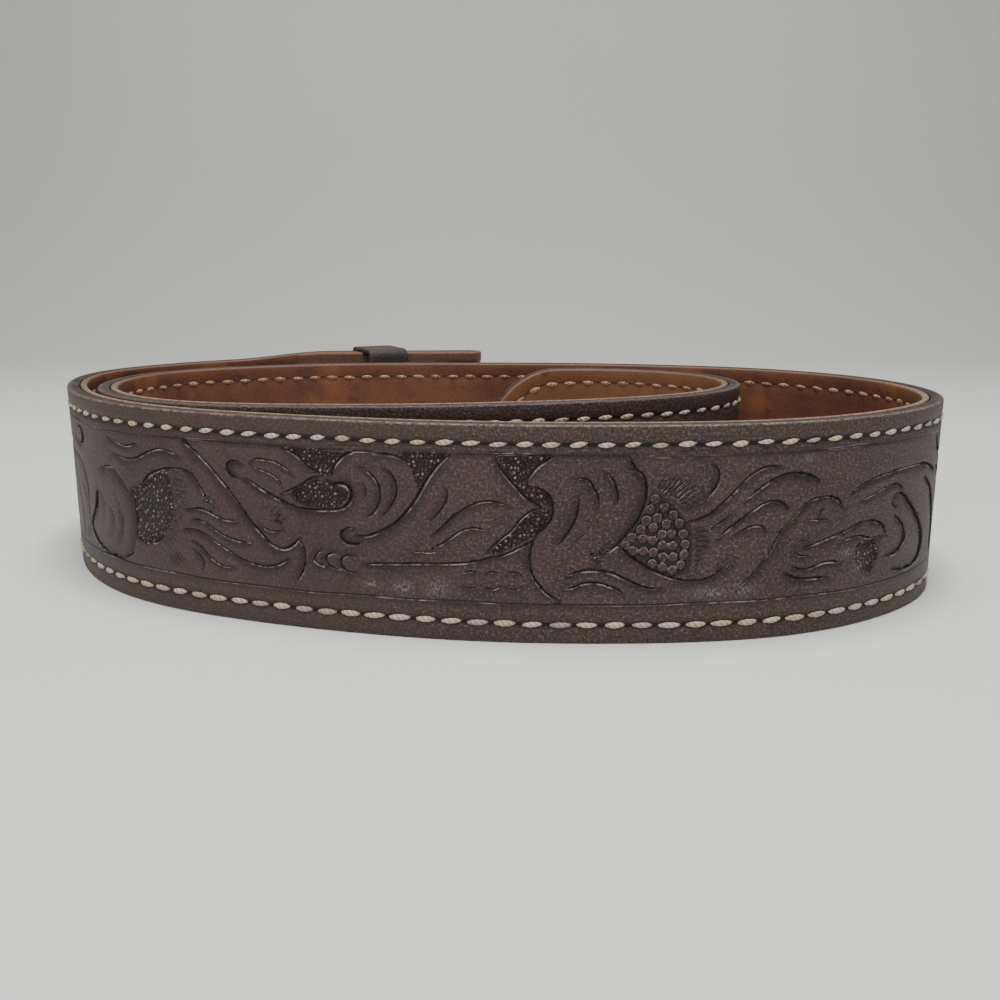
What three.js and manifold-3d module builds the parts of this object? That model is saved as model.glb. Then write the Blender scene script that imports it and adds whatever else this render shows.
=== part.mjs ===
// Western tooled leather belt, standing coiled on its lower edge.
// Millimetres, +Z up. The origin lies on the resting plane under the middle of the belt, and +X runs
// along the long way of the coil, to the right of somebody who looks at the tooled front.
import * as THREE from 'three';
import { mergeVertices } from 'three/addons/utils/BufferGeometryUtils.js';
import Module from 'manifold-3d';

const wasm = await Module();
wasm.setup();

// The strap: tooled leather outside, a thin lining sewn on inside.
const strapWidth = 38.1;
const toolingThickness = 2.4;
const liningThickness = 1.3;
const layerGap = 0.3;
const edgeBevel = 0.45;

// The coil, measured over the middle of the strap.
const coilLength = 190;
const coilDepth = 114;
const turnGap = 1.3;
const stationPitch = 5;

// The free tip and its size holes.
const tipLength = 18;
const tipStations = 9;
const holeDiameter = 5;
const firstHoleFromTip = 92;
const holePitch = 25.4;
const holeCount = 5;
const holeSides = 16;

// The buckle end, folded back on itself over the lining as a seat for a buckle's bar.
const buckleEndLength = 57;
const buckleEndHeading = 183;
const flapLength = 46;
const foldStations = 7;

// The two studs that hold the fold.
const studPostDiameter = 4;
const studHeadDiameter = 9;
const studHeadHeight = 1.2;
const studHoleClearance = 0.35;
const studs = [
  { name: 'stud_near_fold', fromFold: 9.5 },
  { name: 'stud_near_flap_end', fromFold: 36.5 },
];

// The loose keeper loop, which holds the folded end and has room for the tip.
const keeperWidth = 10.5;
const keeperWall = 1.5;
const keeperClearance = 0.35;
const keeperFromFold = 24;
const keeperTurn = 24;
const keeperCornerRadius = 1;

// What the layers stack up to.
const bodyThickness = toolingThickness + layerGap + liningThickness;
const foldedThickness = bodyThickness + layerGap + toolingThickness;
const toolingOffset = (bodyThickness - toolingThickness) / 2;
const liningOffset = (liningThickness - bodyThickness) / 2;
const foldRadius = (foldedThickness - toolingThickness) / 2;
const flapOffset = toolingOffset - 2 * foldRadius;

// The keeper's lower wall lies under the folded end, which it lifts off the resting plane.
const endLift = keeperWall + keeperClearance;
const liftedLength = keeperFromFold + keeperWidth;
const easeLength = 0.9 * liftedLength;

// The straight buckle end runs leftwards into the coil, whose rows are 30 degrees apart. The first turn goes
// round the left end, along the front and back: `out` is the distance from the middle as a share of the
// half sizes.
const rowStep = 30;
const firstRowAngle = 124.5;
const firstTurn = [
  { out: 1.215 }, { out: 1.107 }, { out: 0.949 }, { out: 0.906 }, { out: 0.882 }, { out: 0.944 },
  { out: 1.031 }, { out: 0.987 }, { out: 0.914 }, { out: 0.874 }, { out: 0.81 }, { out: 0.797 },
];

// The second turn lies inside the first: `inside` is how far beyond one strap and its gap, as a share of
// the coil's depth. The last rows are the bend on the right and the way back to the tip.
const secondTurn = [
  { inside: 0.148 }, { inside: 0.073 }, { inside: 0.003 }, { inside: 0.014 }, { inside: 0.102 },
  { inside: 0.176 }, { inside: 0.3 }, { inside: 0.332 }, { inside: 0.259 }, { inside: 0.148 },
  { inside: 0.057 }, { inside: 0.106 },
];

function coilRows() {
  const rows = [];
  const rowAt = (index, share) => {
    const angle = THREE.MathUtils.degToRad(firstRowAngle + rowStep * index);
    const reach = new THREE.Vector2(Math.cos(angle) * coilLength, Math.sin(angle) * coilDepth);
    return reach.multiplyScalar(share / 2);
  };
  firstTurn.forEach((row, index) => rows.push(rowAt(index, row.out)));
  secondTurn.forEach((row, index) => {
    const outer = rows[index];
    const step = bodyThickness + turnGap + row.inside * coilDepth;
    rows.push(outer.clone().setLength(outer.length() - step));
  });
  return rows;
}

// Evenly spaced points of the strap's middle line, eased so that the leather has no sudden change of bend.
function middleLine() {
  const easePasses = 20;
  const fine = stationPitch / 2;
  const knots = coilRows().map((p) => new THREE.Vector3(p.x, p.y, 0));
  const heading = THREE.MathUtils.degToRad(buckleEndHeading);
  const back = new THREE.Vector3(-Math.cos(heading), -Math.sin(heading), 0);
  const firstRow = knots[0];
  [0.25, 0.5, 0.75, 1].forEach((share) => {
    knots.unshift(firstRow.clone().addScaledVector(back, buckleEndLength * share));
  });
  const curve = new THREE.CatmullRomCurve3(knots, false, 'centripetal');
  curve.arcLengthDivisions = 50 * knots.length;
  const count = Math.round(curve.getLength() / fine);
  const line = curve.getSpacedPoints(count);
  for (let pass = 0; pass < easePasses; pass += 1) {
    const before = line.map((p) => p.clone());
    for (let i = 1; i < count; i += 1) {
      line[i].copy(before[i]).multiplyScalar(2).add(before[i - 1]).add(before[i + 1]).divideScalar(4);
    }
  }
  return new THREE.CatmullRomCurve3(line, false, 'centripetal');
}

const strapLine = middleLine();
strapLine.arcLengthDivisions = 2000;
const strapLength = strapLine.getLength();

function liftAt(fromFold) {
  const rest = THREE.MathUtils.smootherstep(fromFold, liftedLength, liftedLength + easeLength);
  return endLift * (1 - rest);
}

// Where the strap is at a length from the fold: middle point, direction of travel and outward direction.
function placeAt(fromFold) {
  const share = THREE.MathUtils.clamp(fromFold / strapLength, 0, 1);
  const point = strapLine.getPointAt(share);
  const ahead = strapLine.getTangentAt(share);
  return { point, ahead, outward: new THREE.Vector3(ahead.y, -ahead.x, 0), lift: liftAt(fromFold) };
}

// The height of the strap either side of its middle, less towards the rounded tip.
function halfWidthAt(fromFold) {
  const past = Math.max(0, fromFold - (strapLength - tipLength)) / tipLength;
  return (strapWidth / 2) * Math.sqrt(Math.max(0, 1 - past * past));
}

// One station of a layer: a bevelled upright rectangle across the line.
function section(place, offset, thickness, halfWidth, bevel) {
  const middle = strapWidth / 2 + place.lift;
  const side = thickness / 2;
  const corner = Math.min(bevel, halfWidth / 2);
  const outline = [
    [side, corner - halfWidth], [side, halfWidth - corner],
    [side - corner, halfWidth], [corner - side, halfWidth],
    [-side, halfWidth - corner], [-side, corner - halfWidth],
    [corner - side, -halfWidth], [side - corner, -halfWidth],
  ];
  return outline.map(([out, up]) => place.point.clone()
    .addScaledVector(place.outward, offset + out)
    .setZ(middle + up));
}

// A closed body through a row of stations, with flat ends.
function bodyThrough(stations) {
  const around = stations[0].length;
  const positions = stations.flat().flatMap((p) => [p.x, p.y, p.z]);
  const faces = [];
  for (let i = 0; i + 1 < stations.length; i += 1) {
    for (let j = 0; j < around; j += 1) {
      const a = i * around + j;
      const b = i * around + (j + 1) % around;
      faces.push(a, b + around, b, a, a + around, b + around);
    }
  }
  const last = (stations.length - 1) * around;
  for (let j = 1; j + 1 < around; j += 1) {
    faces.push(0, j, j + 1, last, last + j + 1, last + j);
  }
  const geometry = new THREE.BufferGeometry();
  geometry.setAttribute('position', new THREE.Float32BufferAttribute(positions, 3));
  geometry.setIndex(faces);
  return geometry;
}

function solidOf(geometry) {
  const bare = geometry.clone();
  bare.deleteAttribute('normal');
  bare.deleteAttribute('uv');
  const merged = mergeVertices(bare, 1e-5);
  return new wasm.Manifold(new wasm.Mesh({
    numProp: 3,
    vertProperties: new Float32Array(merged.attributes.position.array),
    triVerts: new Uint32Array(merged.index.array),
  }));
}

function geometryOf(solid) {
  const mesh = solid.getMesh();
  const geometry = new THREE.BufferGeometry();
  geometry.setAttribute('position', new THREE.BufferAttribute(mesh.vertProperties, 3));
  geometry.setIndex(new THREE.BufferAttribute(mesh.triVerts, 1));
  geometry.computeVertexNormals();
  return geometry;
}

function cutAll(geometry, cutters) {
  const cut = cutters.reduce((body, cutter) => body.subtract(solidOf(cutter)), solidOf(geometry));
  return geometryOf(cut);
}

// Stations' lengths from the fold, closer together where the tip rounds off.
function runLengths(start) {
  const tipStart = strapLength - tipLength;
  const count = Math.round((tipStart - start) / stationPitch);
  const lengths = [];
  for (let i = 0; i <= count; i += 1) {
    lengths.push(start + (tipStart - start) * i / count);
  }
  for (let i = 1; i <= tipStations; i += 1) {
    const lean = (Math.PI / 2) * i / (tipStations + 0.25);
    lengths.push(tipStart + tipLength * Math.sin(lean));
  }
  return lengths;
}

function toolingStation(fromFold) {
  return section(placeAt(fromFold), toolingOffset, toolingThickness, halfWidthAt(fromFold), edgeBevel);
}

// The tooled layer starts at the flap's end, runs to the fold along the inside, turns and runs to the tip.
function toolingGeometry() {
  const stations = [];
  const addStation = (place, offset) => {
    stations.push(section(place, offset, toolingThickness, strapWidth / 2, edgeBevel));
  };
  const flapSteps = Math.round(flapLength / stationPitch);
  for (let i = 0; i < flapSteps; i += 1) {
    const place = placeAt(flapLength * (1 - i / flapSteps));
    addStation({ ...place, outward: place.outward.clone().negate() }, -flapOffset);
  }
  const start = placeAt(0);
  const turnCentre = start.point.clone().addScaledVector(start.outward, toolingOffset - foldRadius);
  for (let i = 0; i <= foldStations; i += 1) {
    const turn = Math.PI * (i / foldStations - 0.5);
    const outward = start.outward.clone().multiplyScalar(Math.sin(turn));
    outward.addScaledVector(start.ahead, -Math.cos(turn));
    addStation({ point: turnCentre, outward, lift: start.lift }, foldRadius);
  }
  runLengths(0).slice(1).forEach((fromFold) => {
    stations.push(section(placeAt(fromFold), toolingOffset, toolingThickness, halfWidthAt(fromFold), edgeBevel));
  });
  return bodyThrough(stations);
}

function liningGeometry() {
  const stations = runLengths(layerGap).map((fromFold) => (
    section(placeAt(fromFold), liningOffset, liningThickness, halfWidthAt(fromFold), edgeBevel / 2)
  ));
  return bodyThrough(stations);
}

// Turns a shape's upright axis to the strap's outward direction at a length from the fold.
function seatOnStrap(geometry, fromFold, offset) {
  const { point, outward, lift } = placeAt(fromFold);
  const turn = new THREE.Quaternion().setFromUnitVectors(new THREE.Vector3(0, 1, 0), outward);
  const seat = point.clone().addScaledVector(outward, offset).setZ(strapWidth / 2 + lift);
  return geometry.applyQuaternion(turn).translate(seat.x, seat.y, seat.z);
}

function sizeHoles() {
  const holes = [];
  for (let i = 0; i < holeCount; i += 1) {
    const punch = new THREE.CylinderGeometry(
      holeDiameter / 2,
      holeDiameter / 2,
      bodyThickness + turnGap,
      holeSides,
    );
    holes.push(seatOnStrap(punch, strapLength - firstHoleFromTip - holePitch * i, 0));
  }
  return holes;
}

function studHoles() {
  const diameter = studPostDiameter + 2 * studHoleClearance;
  const middle = (bodyThickness - foldedThickness) / 2;
  return studs.map((stud) => {
    const punch = new THREE.CylinderGeometry(diameter / 2, diameter / 2, foldedThickness + 1, holeSides);
    return seatOnStrap(punch, stud.fromFold, middle);
  });
}

// A turned stud: a head on the flap, a post through the fold and a head on the outside.
function studGeometry() {
  const head = studHeadDiameter / 2;
  const post = studPostDiameter / 2;
  const inner = bodyThickness / 2 - foldedThickness - layerGap;
  const outer = bodyThickness / 2 + layerGap;
  const rim = studHeadHeight / 2;
  const profile = [
    [0, inner - studHeadHeight], [head * 0.6, inner - studHeadHeight], [head, inner - rim], [head, inner],
    [post, inner], [post, outer],
    [head, outer], [head, outer + rim], [head * 0.6, outer + studHeadHeight], [0, outer + studHeadHeight],
  ];
  const points = profile.map(([radius, up]) => new THREE.Vector2(radius, up));
  return geometryOf(solidOf(new THREE.LatheGeometry(points, holeSides)));
}

function roundedRectangle(target, width, height, radius) {
  const x = width / 2;
  const y = height / 2;
  target.moveTo(radius - x, -y);
  target.lineTo(x - radius, -y);
  target.absarc(x - radius, radius - y, radius, -Math.PI / 2, 0, false);
  target.lineTo(x, y - radius);
  target.absarc(x - radius, y - radius, radius, 0, Math.PI / 2, false);
  target.lineTo(radius - x, y);
  target.absarc(radius - x, y - radius, radius, Math.PI / 2, Math.PI, false);
  target.lineTo(-x, radius - y);
  target.absarc(radius - x, radius - y, radius, Math.PI, 1.5 * Math.PI, false);
  return target;
}

// The keeper is a flat band bent into an upright loop. It hangs turned on the folded end,
// so its room follows from the folded end's thickness and that turn.
const turned = THREE.MathUtils.degToRad(keeperTurn);
const keeperRoom = foldedThickness / Math.cos(turned) + keeperWidth * Math.tan(turned) + 2 * keeperClearance;
const keeperHeight = strapWidth + 2 * keeperClearance + 2 * keeperWall;

function keeperGeometry() {
  const outerRadius = keeperCornerRadius + keeperWall;
  const loop = roundedRectangle(new THREE.Shape(), keeperRoom + 2 * keeperWall, keeperHeight, outerRadius);
  const room = roundedRectangle(
    new THREE.Path(),
    keeperRoom,
    keeperHeight - 2 * keeperWall,
    keeperCornerRadius,
  );
  loop.holes.push(room);
  const band = new THREE.ExtrudeGeometry(loop, { depth: keeperWidth, bevelEnabled: false, curveSegments: 4 });
  return band.translate(0, 0, -keeperWidth / 2);
}

const toolingLeather = new THREE.MeshStandardMaterial({ color: 0x3f302e, roughness: 0.5, metalness: 0 });
const liningLeather = new THREE.MeshStandardMaterial({ color: 0x674534, roughness: 0.7, metalness: 0 });
const keeperLeather = new THREE.MeshStandardMaterial({ color: 0x433733, roughness: 0.55, metalness: 0 });
const studMetal = new THREE.MeshStandardMaterial({ color: 0x8f8a80, roughness: 0.4, metalness: 1 });

function namedMesh(name, geometry, material) {
  const mesh = new THREE.Mesh(geometry, material);
  mesh.name = name;
  return mesh;
}

const coil = new THREE.Group();
const holes = [...sizeHoles(), ...studHoles()];
coil.add(namedMesh('strap', cutAll(toolingGeometry(), holes), toolingLeather));
coil.add(namedMesh('lining', cutAll(liningGeometry(), holes), liningLeather));

const buckleEnd = new THREE.Group();
coil.add(buckleEnd);

for (const { name, fromFold } of studs) {
  const stud = namedMesh(name, studGeometry(), studMetal);
  const { point, outward, lift } = placeAt(fromFold);
  stud.position.copy(point).setZ(strapWidth / 2 + lift);
  stud.quaternion.setFromUnitVectors(new THREE.Vector3(0, 1, 0), outward);
  buckleEnd.add(stud);
}

const keeperSeat = new THREE.Group();
const keeperPlace = placeAt(keeperFromFold);
keeperSeat.position.copy(keeperPlace.point)
  .addScaledVector(keeperPlace.outward, (bodyThickness - foldedThickness) / 2)
  .setZ(keeperHeight / 2);
keeperSeat.rotation.z = Math.atan2(keeperPlace.outward.y, keeperPlace.outward.x) + turned;
buckleEnd.add(keeperSeat);
const keeper = namedMesh('keeper', keeperGeometry(), keeperLeather);
keeper.rotation.x = Math.PI / 2;
keeperSeat.add(keeper);

// The origin is under the middle of the whole belt, on the resting plane.
const middle = new THREE.Box3().setFromObject(coil).getCenter(new THREE.Vector3());
coil.position.set(-middle.x, -middle.y, 0);
const belt = new THREE.Group();
belt.add(coil);

export default belt;
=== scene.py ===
# %% [markdown]
# This lesson dresses a coiled western belt. The belt is two long strips of leather sewn together:
# a dark outer strip carved with scrolls and leaves, and a brown lining strip.
# The packed CAD part is the frame: it says where every piece is, and each new piece rides on it.

import math

import bmesh
import bpy
import numpy as np
from mathutils import Matrix, Vector


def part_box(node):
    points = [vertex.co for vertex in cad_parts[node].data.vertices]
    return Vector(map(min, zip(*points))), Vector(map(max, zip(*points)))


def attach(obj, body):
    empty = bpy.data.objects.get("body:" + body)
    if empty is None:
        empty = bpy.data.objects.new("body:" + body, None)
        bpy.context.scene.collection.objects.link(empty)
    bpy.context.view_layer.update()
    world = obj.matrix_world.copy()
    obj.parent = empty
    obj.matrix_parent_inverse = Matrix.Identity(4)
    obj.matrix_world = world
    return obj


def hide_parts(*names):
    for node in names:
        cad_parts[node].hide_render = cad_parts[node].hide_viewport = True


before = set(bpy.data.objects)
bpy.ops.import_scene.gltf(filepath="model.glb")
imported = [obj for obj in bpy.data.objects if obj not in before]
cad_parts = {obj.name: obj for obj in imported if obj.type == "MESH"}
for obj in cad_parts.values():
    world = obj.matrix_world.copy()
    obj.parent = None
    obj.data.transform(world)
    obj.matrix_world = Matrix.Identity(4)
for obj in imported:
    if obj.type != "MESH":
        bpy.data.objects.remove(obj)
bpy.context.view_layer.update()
print("frame pieces:", sorted(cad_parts))

# %% [markdown]
# The belt is drawn here in millimetres, as a leather worker would mark it out, and turned into
# metres only when a mesh is made. The sizes are those of the CAD part.

# %% Sizes in millimetres
MM = 0.001
strap_width = 38.1
tooling_thickness = 2.4
lining_thickness = 1.3
layer_gap = 0.3
body_thickness = 4.0
folded_thickness = 6.7
coil_length = 190.0
coil_depth = 114.0
turn_gap = 1.3
tip_length = 18.0
flap_length = 46.0
keeper_width = 10.5
keeper_wall = 1.5
keeper_clearance = 0.35
keeper_from_fold = 24.0
keeper_turn = math.radians(24)
tooling_offset = (body_thickness - tooling_thickness) / 2
lining_offset = (lining_thickness - body_thickness) / 2
fold_radius = (folded_thickness - tooling_thickness) / 2
flap_offset = body_thickness / 2 - folded_thickness + tooling_thickness / 2
fold_run = math.pi * fold_radius
end_lift = keeper_wall + keeper_clearance
lifted_length = keeper_from_fold + keeper_width
ease_length = 0.9 * lifted_length
print("fold radius", round(fold_radius, 2), "mm, flap offset", round(flap_offset, 2), "mm")

# %% [markdown]
# The belt lies in one and a half turns. Its middle line is the CAD part's own: a table of rows
# every 30 degrees, a smooth curve through them, and a few passes that ease the curve as stiff
# leather would. A fine table of that curve gives the point, the way ahead and the way outward.

# %% The middle line of the coil
first_row_angle = 124.5
buckle_end_length = 57.0
buckle_end_heading = math.radians(183)
first_turn = (1.215, 1.107, 0.949, 0.906, 0.882, 0.944, 1.031, 0.987, 0.914, 0.874, 0.81, 0.797)
second_turn = (0.148, 0.073, 0.003, 0.014, 0.102, 0.176, 0.3, 0.332, 0.259, 0.148, 0.057, 0.106)


def coil_rows():
    """The knots of the middle line, from the buckle end to the tip."""
    rows = []
    for index, out in enumerate(first_turn):
        angle = math.radians(first_row_angle + 30 * index)
        rows.append(np.array([math.cos(angle) * coil_length, math.sin(angle) * coil_depth]) * out / 2)
    for index, inside in enumerate(second_turn):
        outer = rows[index]
        step = body_thickness + turn_gap + inside * coil_depth
        rows.append(outer * (1 - step / np.hypot(*outer)))
    back = -np.array([math.cos(buckle_end_heading), math.sin(buckle_end_heading)])
    straight = [rows[0] + back * buckle_end_length * share for share in (1, 0.75, 0.5, 0.25)]
    return np.array(straight + rows)


def curve_through(knots, steps):
    """A centripetal Catmull-Rom curve through the knots."""
    points = []
    for i in range(len(knots) - 1):
        here, there = knots[i], knots[i + 1]
        before = knots[i - 1] if i > 0 else 2 * here - there
        after = knots[i + 2] if i + 2 < len(knots) else 2 * there - here
        links = ((before, here), (here, there), (there, after))
        gaps = [max(np.hypot(*(b - a)) ** 0.5, 1e-4) for a, b in links]
        leave = (here - before) / gaps[0] - (there - before) / (gaps[0] + gaps[1])
        leave += (there - here) / gaps[1]
        arrive = (there - here) / gaps[1] - (after - here) / (gaps[1] + gaps[2])
        arrive += (after - there) / gaps[2]
        for j in range(steps):
            t = j / steps
            points.append(
                (2 * t**3 - 3 * t**2 + 1) * here
                + (t**3 - 2 * t**2 + t) * leave * gaps[1]
                + (3 * t**2 - 2 * t**3) * there
                + (t**3 - t**2) * arrive * gaps[1]
            )
    points.append(knots[-1])
    return np.array(points)


def run_along(line):
    """The distance along a line at each of its points."""
    return np.concatenate([[0], np.cumsum(np.hypot(*np.diff(line, axis=0).T))])


def even_steps(line, pitch):
    """The same line with its points a steady pitch apart."""
    run = run_along(line)
    marks = np.linspace(0, run[-1], int(round(run[-1] / pitch)) + 1)
    return np.stack([np.interp(marks, run, line[:, axis]) for axis in (0, 1)], 1)


def eased(line, passes):
    """The line after each point has moved towards its neighbours, with its ends kept."""
    line = line.copy()
    for _ in range(passes):
        line[1:-1] = (line[:-2] + 2 * line[1:-1] + line[2:]) / 4
    return line


knots = eased(even_steps(curve_through(coil_rows(), 24), 2.5), 20)
middle = even_steps(curve_through(knots, 8), 0.25)
middle_run = run_along(middle)
strap_length = middle_run[-1]
middle_ahead = np.gradient(middle, axis=0)
middle_ahead /= np.hypot(*middle_ahead.T)[:, None]
middle_out = np.stack([middle_ahead[:, 1], -middle_ahead[:, 0]], 1)
outer_face = middle + middle_out * body_thickness / 2
strap_low, strap_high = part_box("strap")
middle_shift = np.array([
    (strap_low.x + strap_high.x) / MM / 2 - (outer_face[:, 0].min() + outer_face[:, 0].max()) / 2,
    strap_low.y / MM - outer_face[:, 1].min(),
])
middle += middle_shift
print("strap length", round(strap_length, 1), "mm, moved by", middle_shift.round(2), "mm")

# %% [markdown]
# A leather worker cuts and carves the strap flat, then bends it. The lesson does the same.
# Each piece is first made flat: run is how far along the strap, height how far up its width,
# and out how far towards the grain side. A curve modifier could bend it, but not round the fold
# and back, so this function bends flat points into the coil, round the fold and along the flap.

# %% Bending flat work into the coil


def lift_at(run):
    """How far the strap stands off the floor, where the keeper passes under it."""
    share = np.clip((run - lifted_length) / ease_length, 0, 1)
    return end_lift * (1 - share**3 * (share * (share * 6 - 15) + 10))


def line_at(run):
    """The middle line's points, the way ahead and the way outward."""
    point = np.stack([np.interp(run, middle_run, middle[:, axis]) for axis in (0, 1)], 1)
    ahead = np.stack([np.interp(run, middle_run, middle_ahead[:, axis]) for axis in (0, 1)], 1)
    ahead /= np.hypot(*ahead.T)[:, None]
    return point, ahead, np.stack([ahead[:, 1], -ahead[:, 0]], 1)


def coiled(run, height, out, offset=tooling_offset):
    """Flat points in millimetres as points of the coil in metres."""
    point, ahead, outward = line_at(np.maximum(run, 0))
    place = point + outward * (offset + out)[:, None]
    turn = np.clip(-run / fold_radius, 0, math.pi)[:, None]
    centre = point + outward * (tooling_offset - fold_radius)
    folded = centre + (outward * np.cos(turn) - ahead * np.sin(turn)) * (fold_radius + out)[:, None]
    back_run = np.maximum(-run - fold_run, 0)
    point, ahead, outward = line_at(back_run)
    flap = point + outward * (flap_offset - out)[:, None]
    place = np.where((run < 0)[:, None], folded, place)
    place = np.where((run < -fold_run)[:, None], flap, place)
    lift = np.where(run < 0, lift_at(back_run), lift_at(np.maximum(run, 0)))
    return np.column_stack([place, height + lift]) * MM


print("the keeper lifts the buckle end by", round(end_lift, 2), "mm")

# %% [markdown]
# The camera stands a little above the rim, close to the belt, and looks slightly down. Its place
# could be found by trial. Here it was worked out from the upper and lower edges of the belt's front.

# %% Camera
scene = bpy.context.scene
camera = bpy.data.objects.new("camera", bpy.data.cameras.new("camera"))
scene.collection.objects.link(camera)
camera.location = (0.00381, -0.23178, 0.06551)
camera.rotation_euler = (math.radians(76.8), 0, 0)
camera.data.lens = 37.8
camera.data.sensor_width = 36
camera.data.clip_start = 0.005
scene.camera = camera
print("camera at", tuple(round(x, 3) for x in camera.location))

# %% [markdown]
# A photo studio's floor is a sheet of paper that runs back and turns up into a wall, so that no
# line shows behind the object. A profile that is drawn once and spun sideways bends smoothly, where
# a plane and a wall would meet in a corner. Two large lights keep the shadows soft.

# %% Floor and lights
bend_steps = 24


def floor_and_wall(half_width, front, back, bend, top):
    """A sheet that lies on the floor and bends up into a wall."""
    profile = [Vector((0, front, 0)), Vector((0, back, 0))]
    for i in range(1, bend_steps + 1):
        angle = math.pi / 2 * i / bend_steps
        profile.append(Vector((0, back + bend * math.sin(angle), bend * (1 - math.cos(angle)))))
    profile.append(Vector((0, back + bend, top)))
    sheet = bmesh.new()
    verts = [sheet.verts.new(point - Vector((half_width, 0, 0))) for point in profile]
    edges = [sheet.edges.new(pair) for pair in zip(verts, verts[1:])]
    bmesh.ops.spin(sheet, geom=verts + edges, cent=(0, 0, 0), axis=(1, 0, 0),
                   dvec=(half_width / 4, 0, 0), steps=8)
    bmesh.ops.recalc_face_normals(sheet, faces=sheet.faces)
    mesh = bpy.data.meshes.new("backdrop")
    sheet.to_mesh(mesh)
    sheet.free()
    mesh.shade_smooth()
    made = bpy.data.objects.new("backdrop", mesh)
    scene.collection.objects.link(made)
    return made


backdrop = floor_and_wall(half_width=2.4, front=-1.2, back=0.42, bend=0.4, top=1.9)


def soft_light(name, place, target, size, power):
    """A square area light that faces its target."""
    data = bpy.data.lights.new(name, "AREA")
    data.size = size
    data.energy = power
    lamp = bpy.data.objects.new(name, data)
    lamp.location = place
    lamp.rotation_euler = (Vector(target) - Vector(place)).to_track_quat("-Z", "Y").to_euler()
    scene.collection.objects.link(lamp)


soft_light("light_above", (0.02, -0.09, 0.78), (0, -0.05, 0), 0.42, 10.0)
soft_light("light_front", (-0.45, -0.75, 0.5), (0, 0, 0.02), 0.6, 1.9)
world = bpy.data.worlds.new("studio_air")
world.use_nodes = True
world.node_tree.nodes["Background"].inputs["Color"].default_value = (0.9, 0.93, 0.95, 1)
world.node_tree.nodes["Background"].inputs["Strength"].default_value = 0.34
scene.world = world
print("backdrop has", len(backdrop.data.polygons), "faces")
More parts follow.
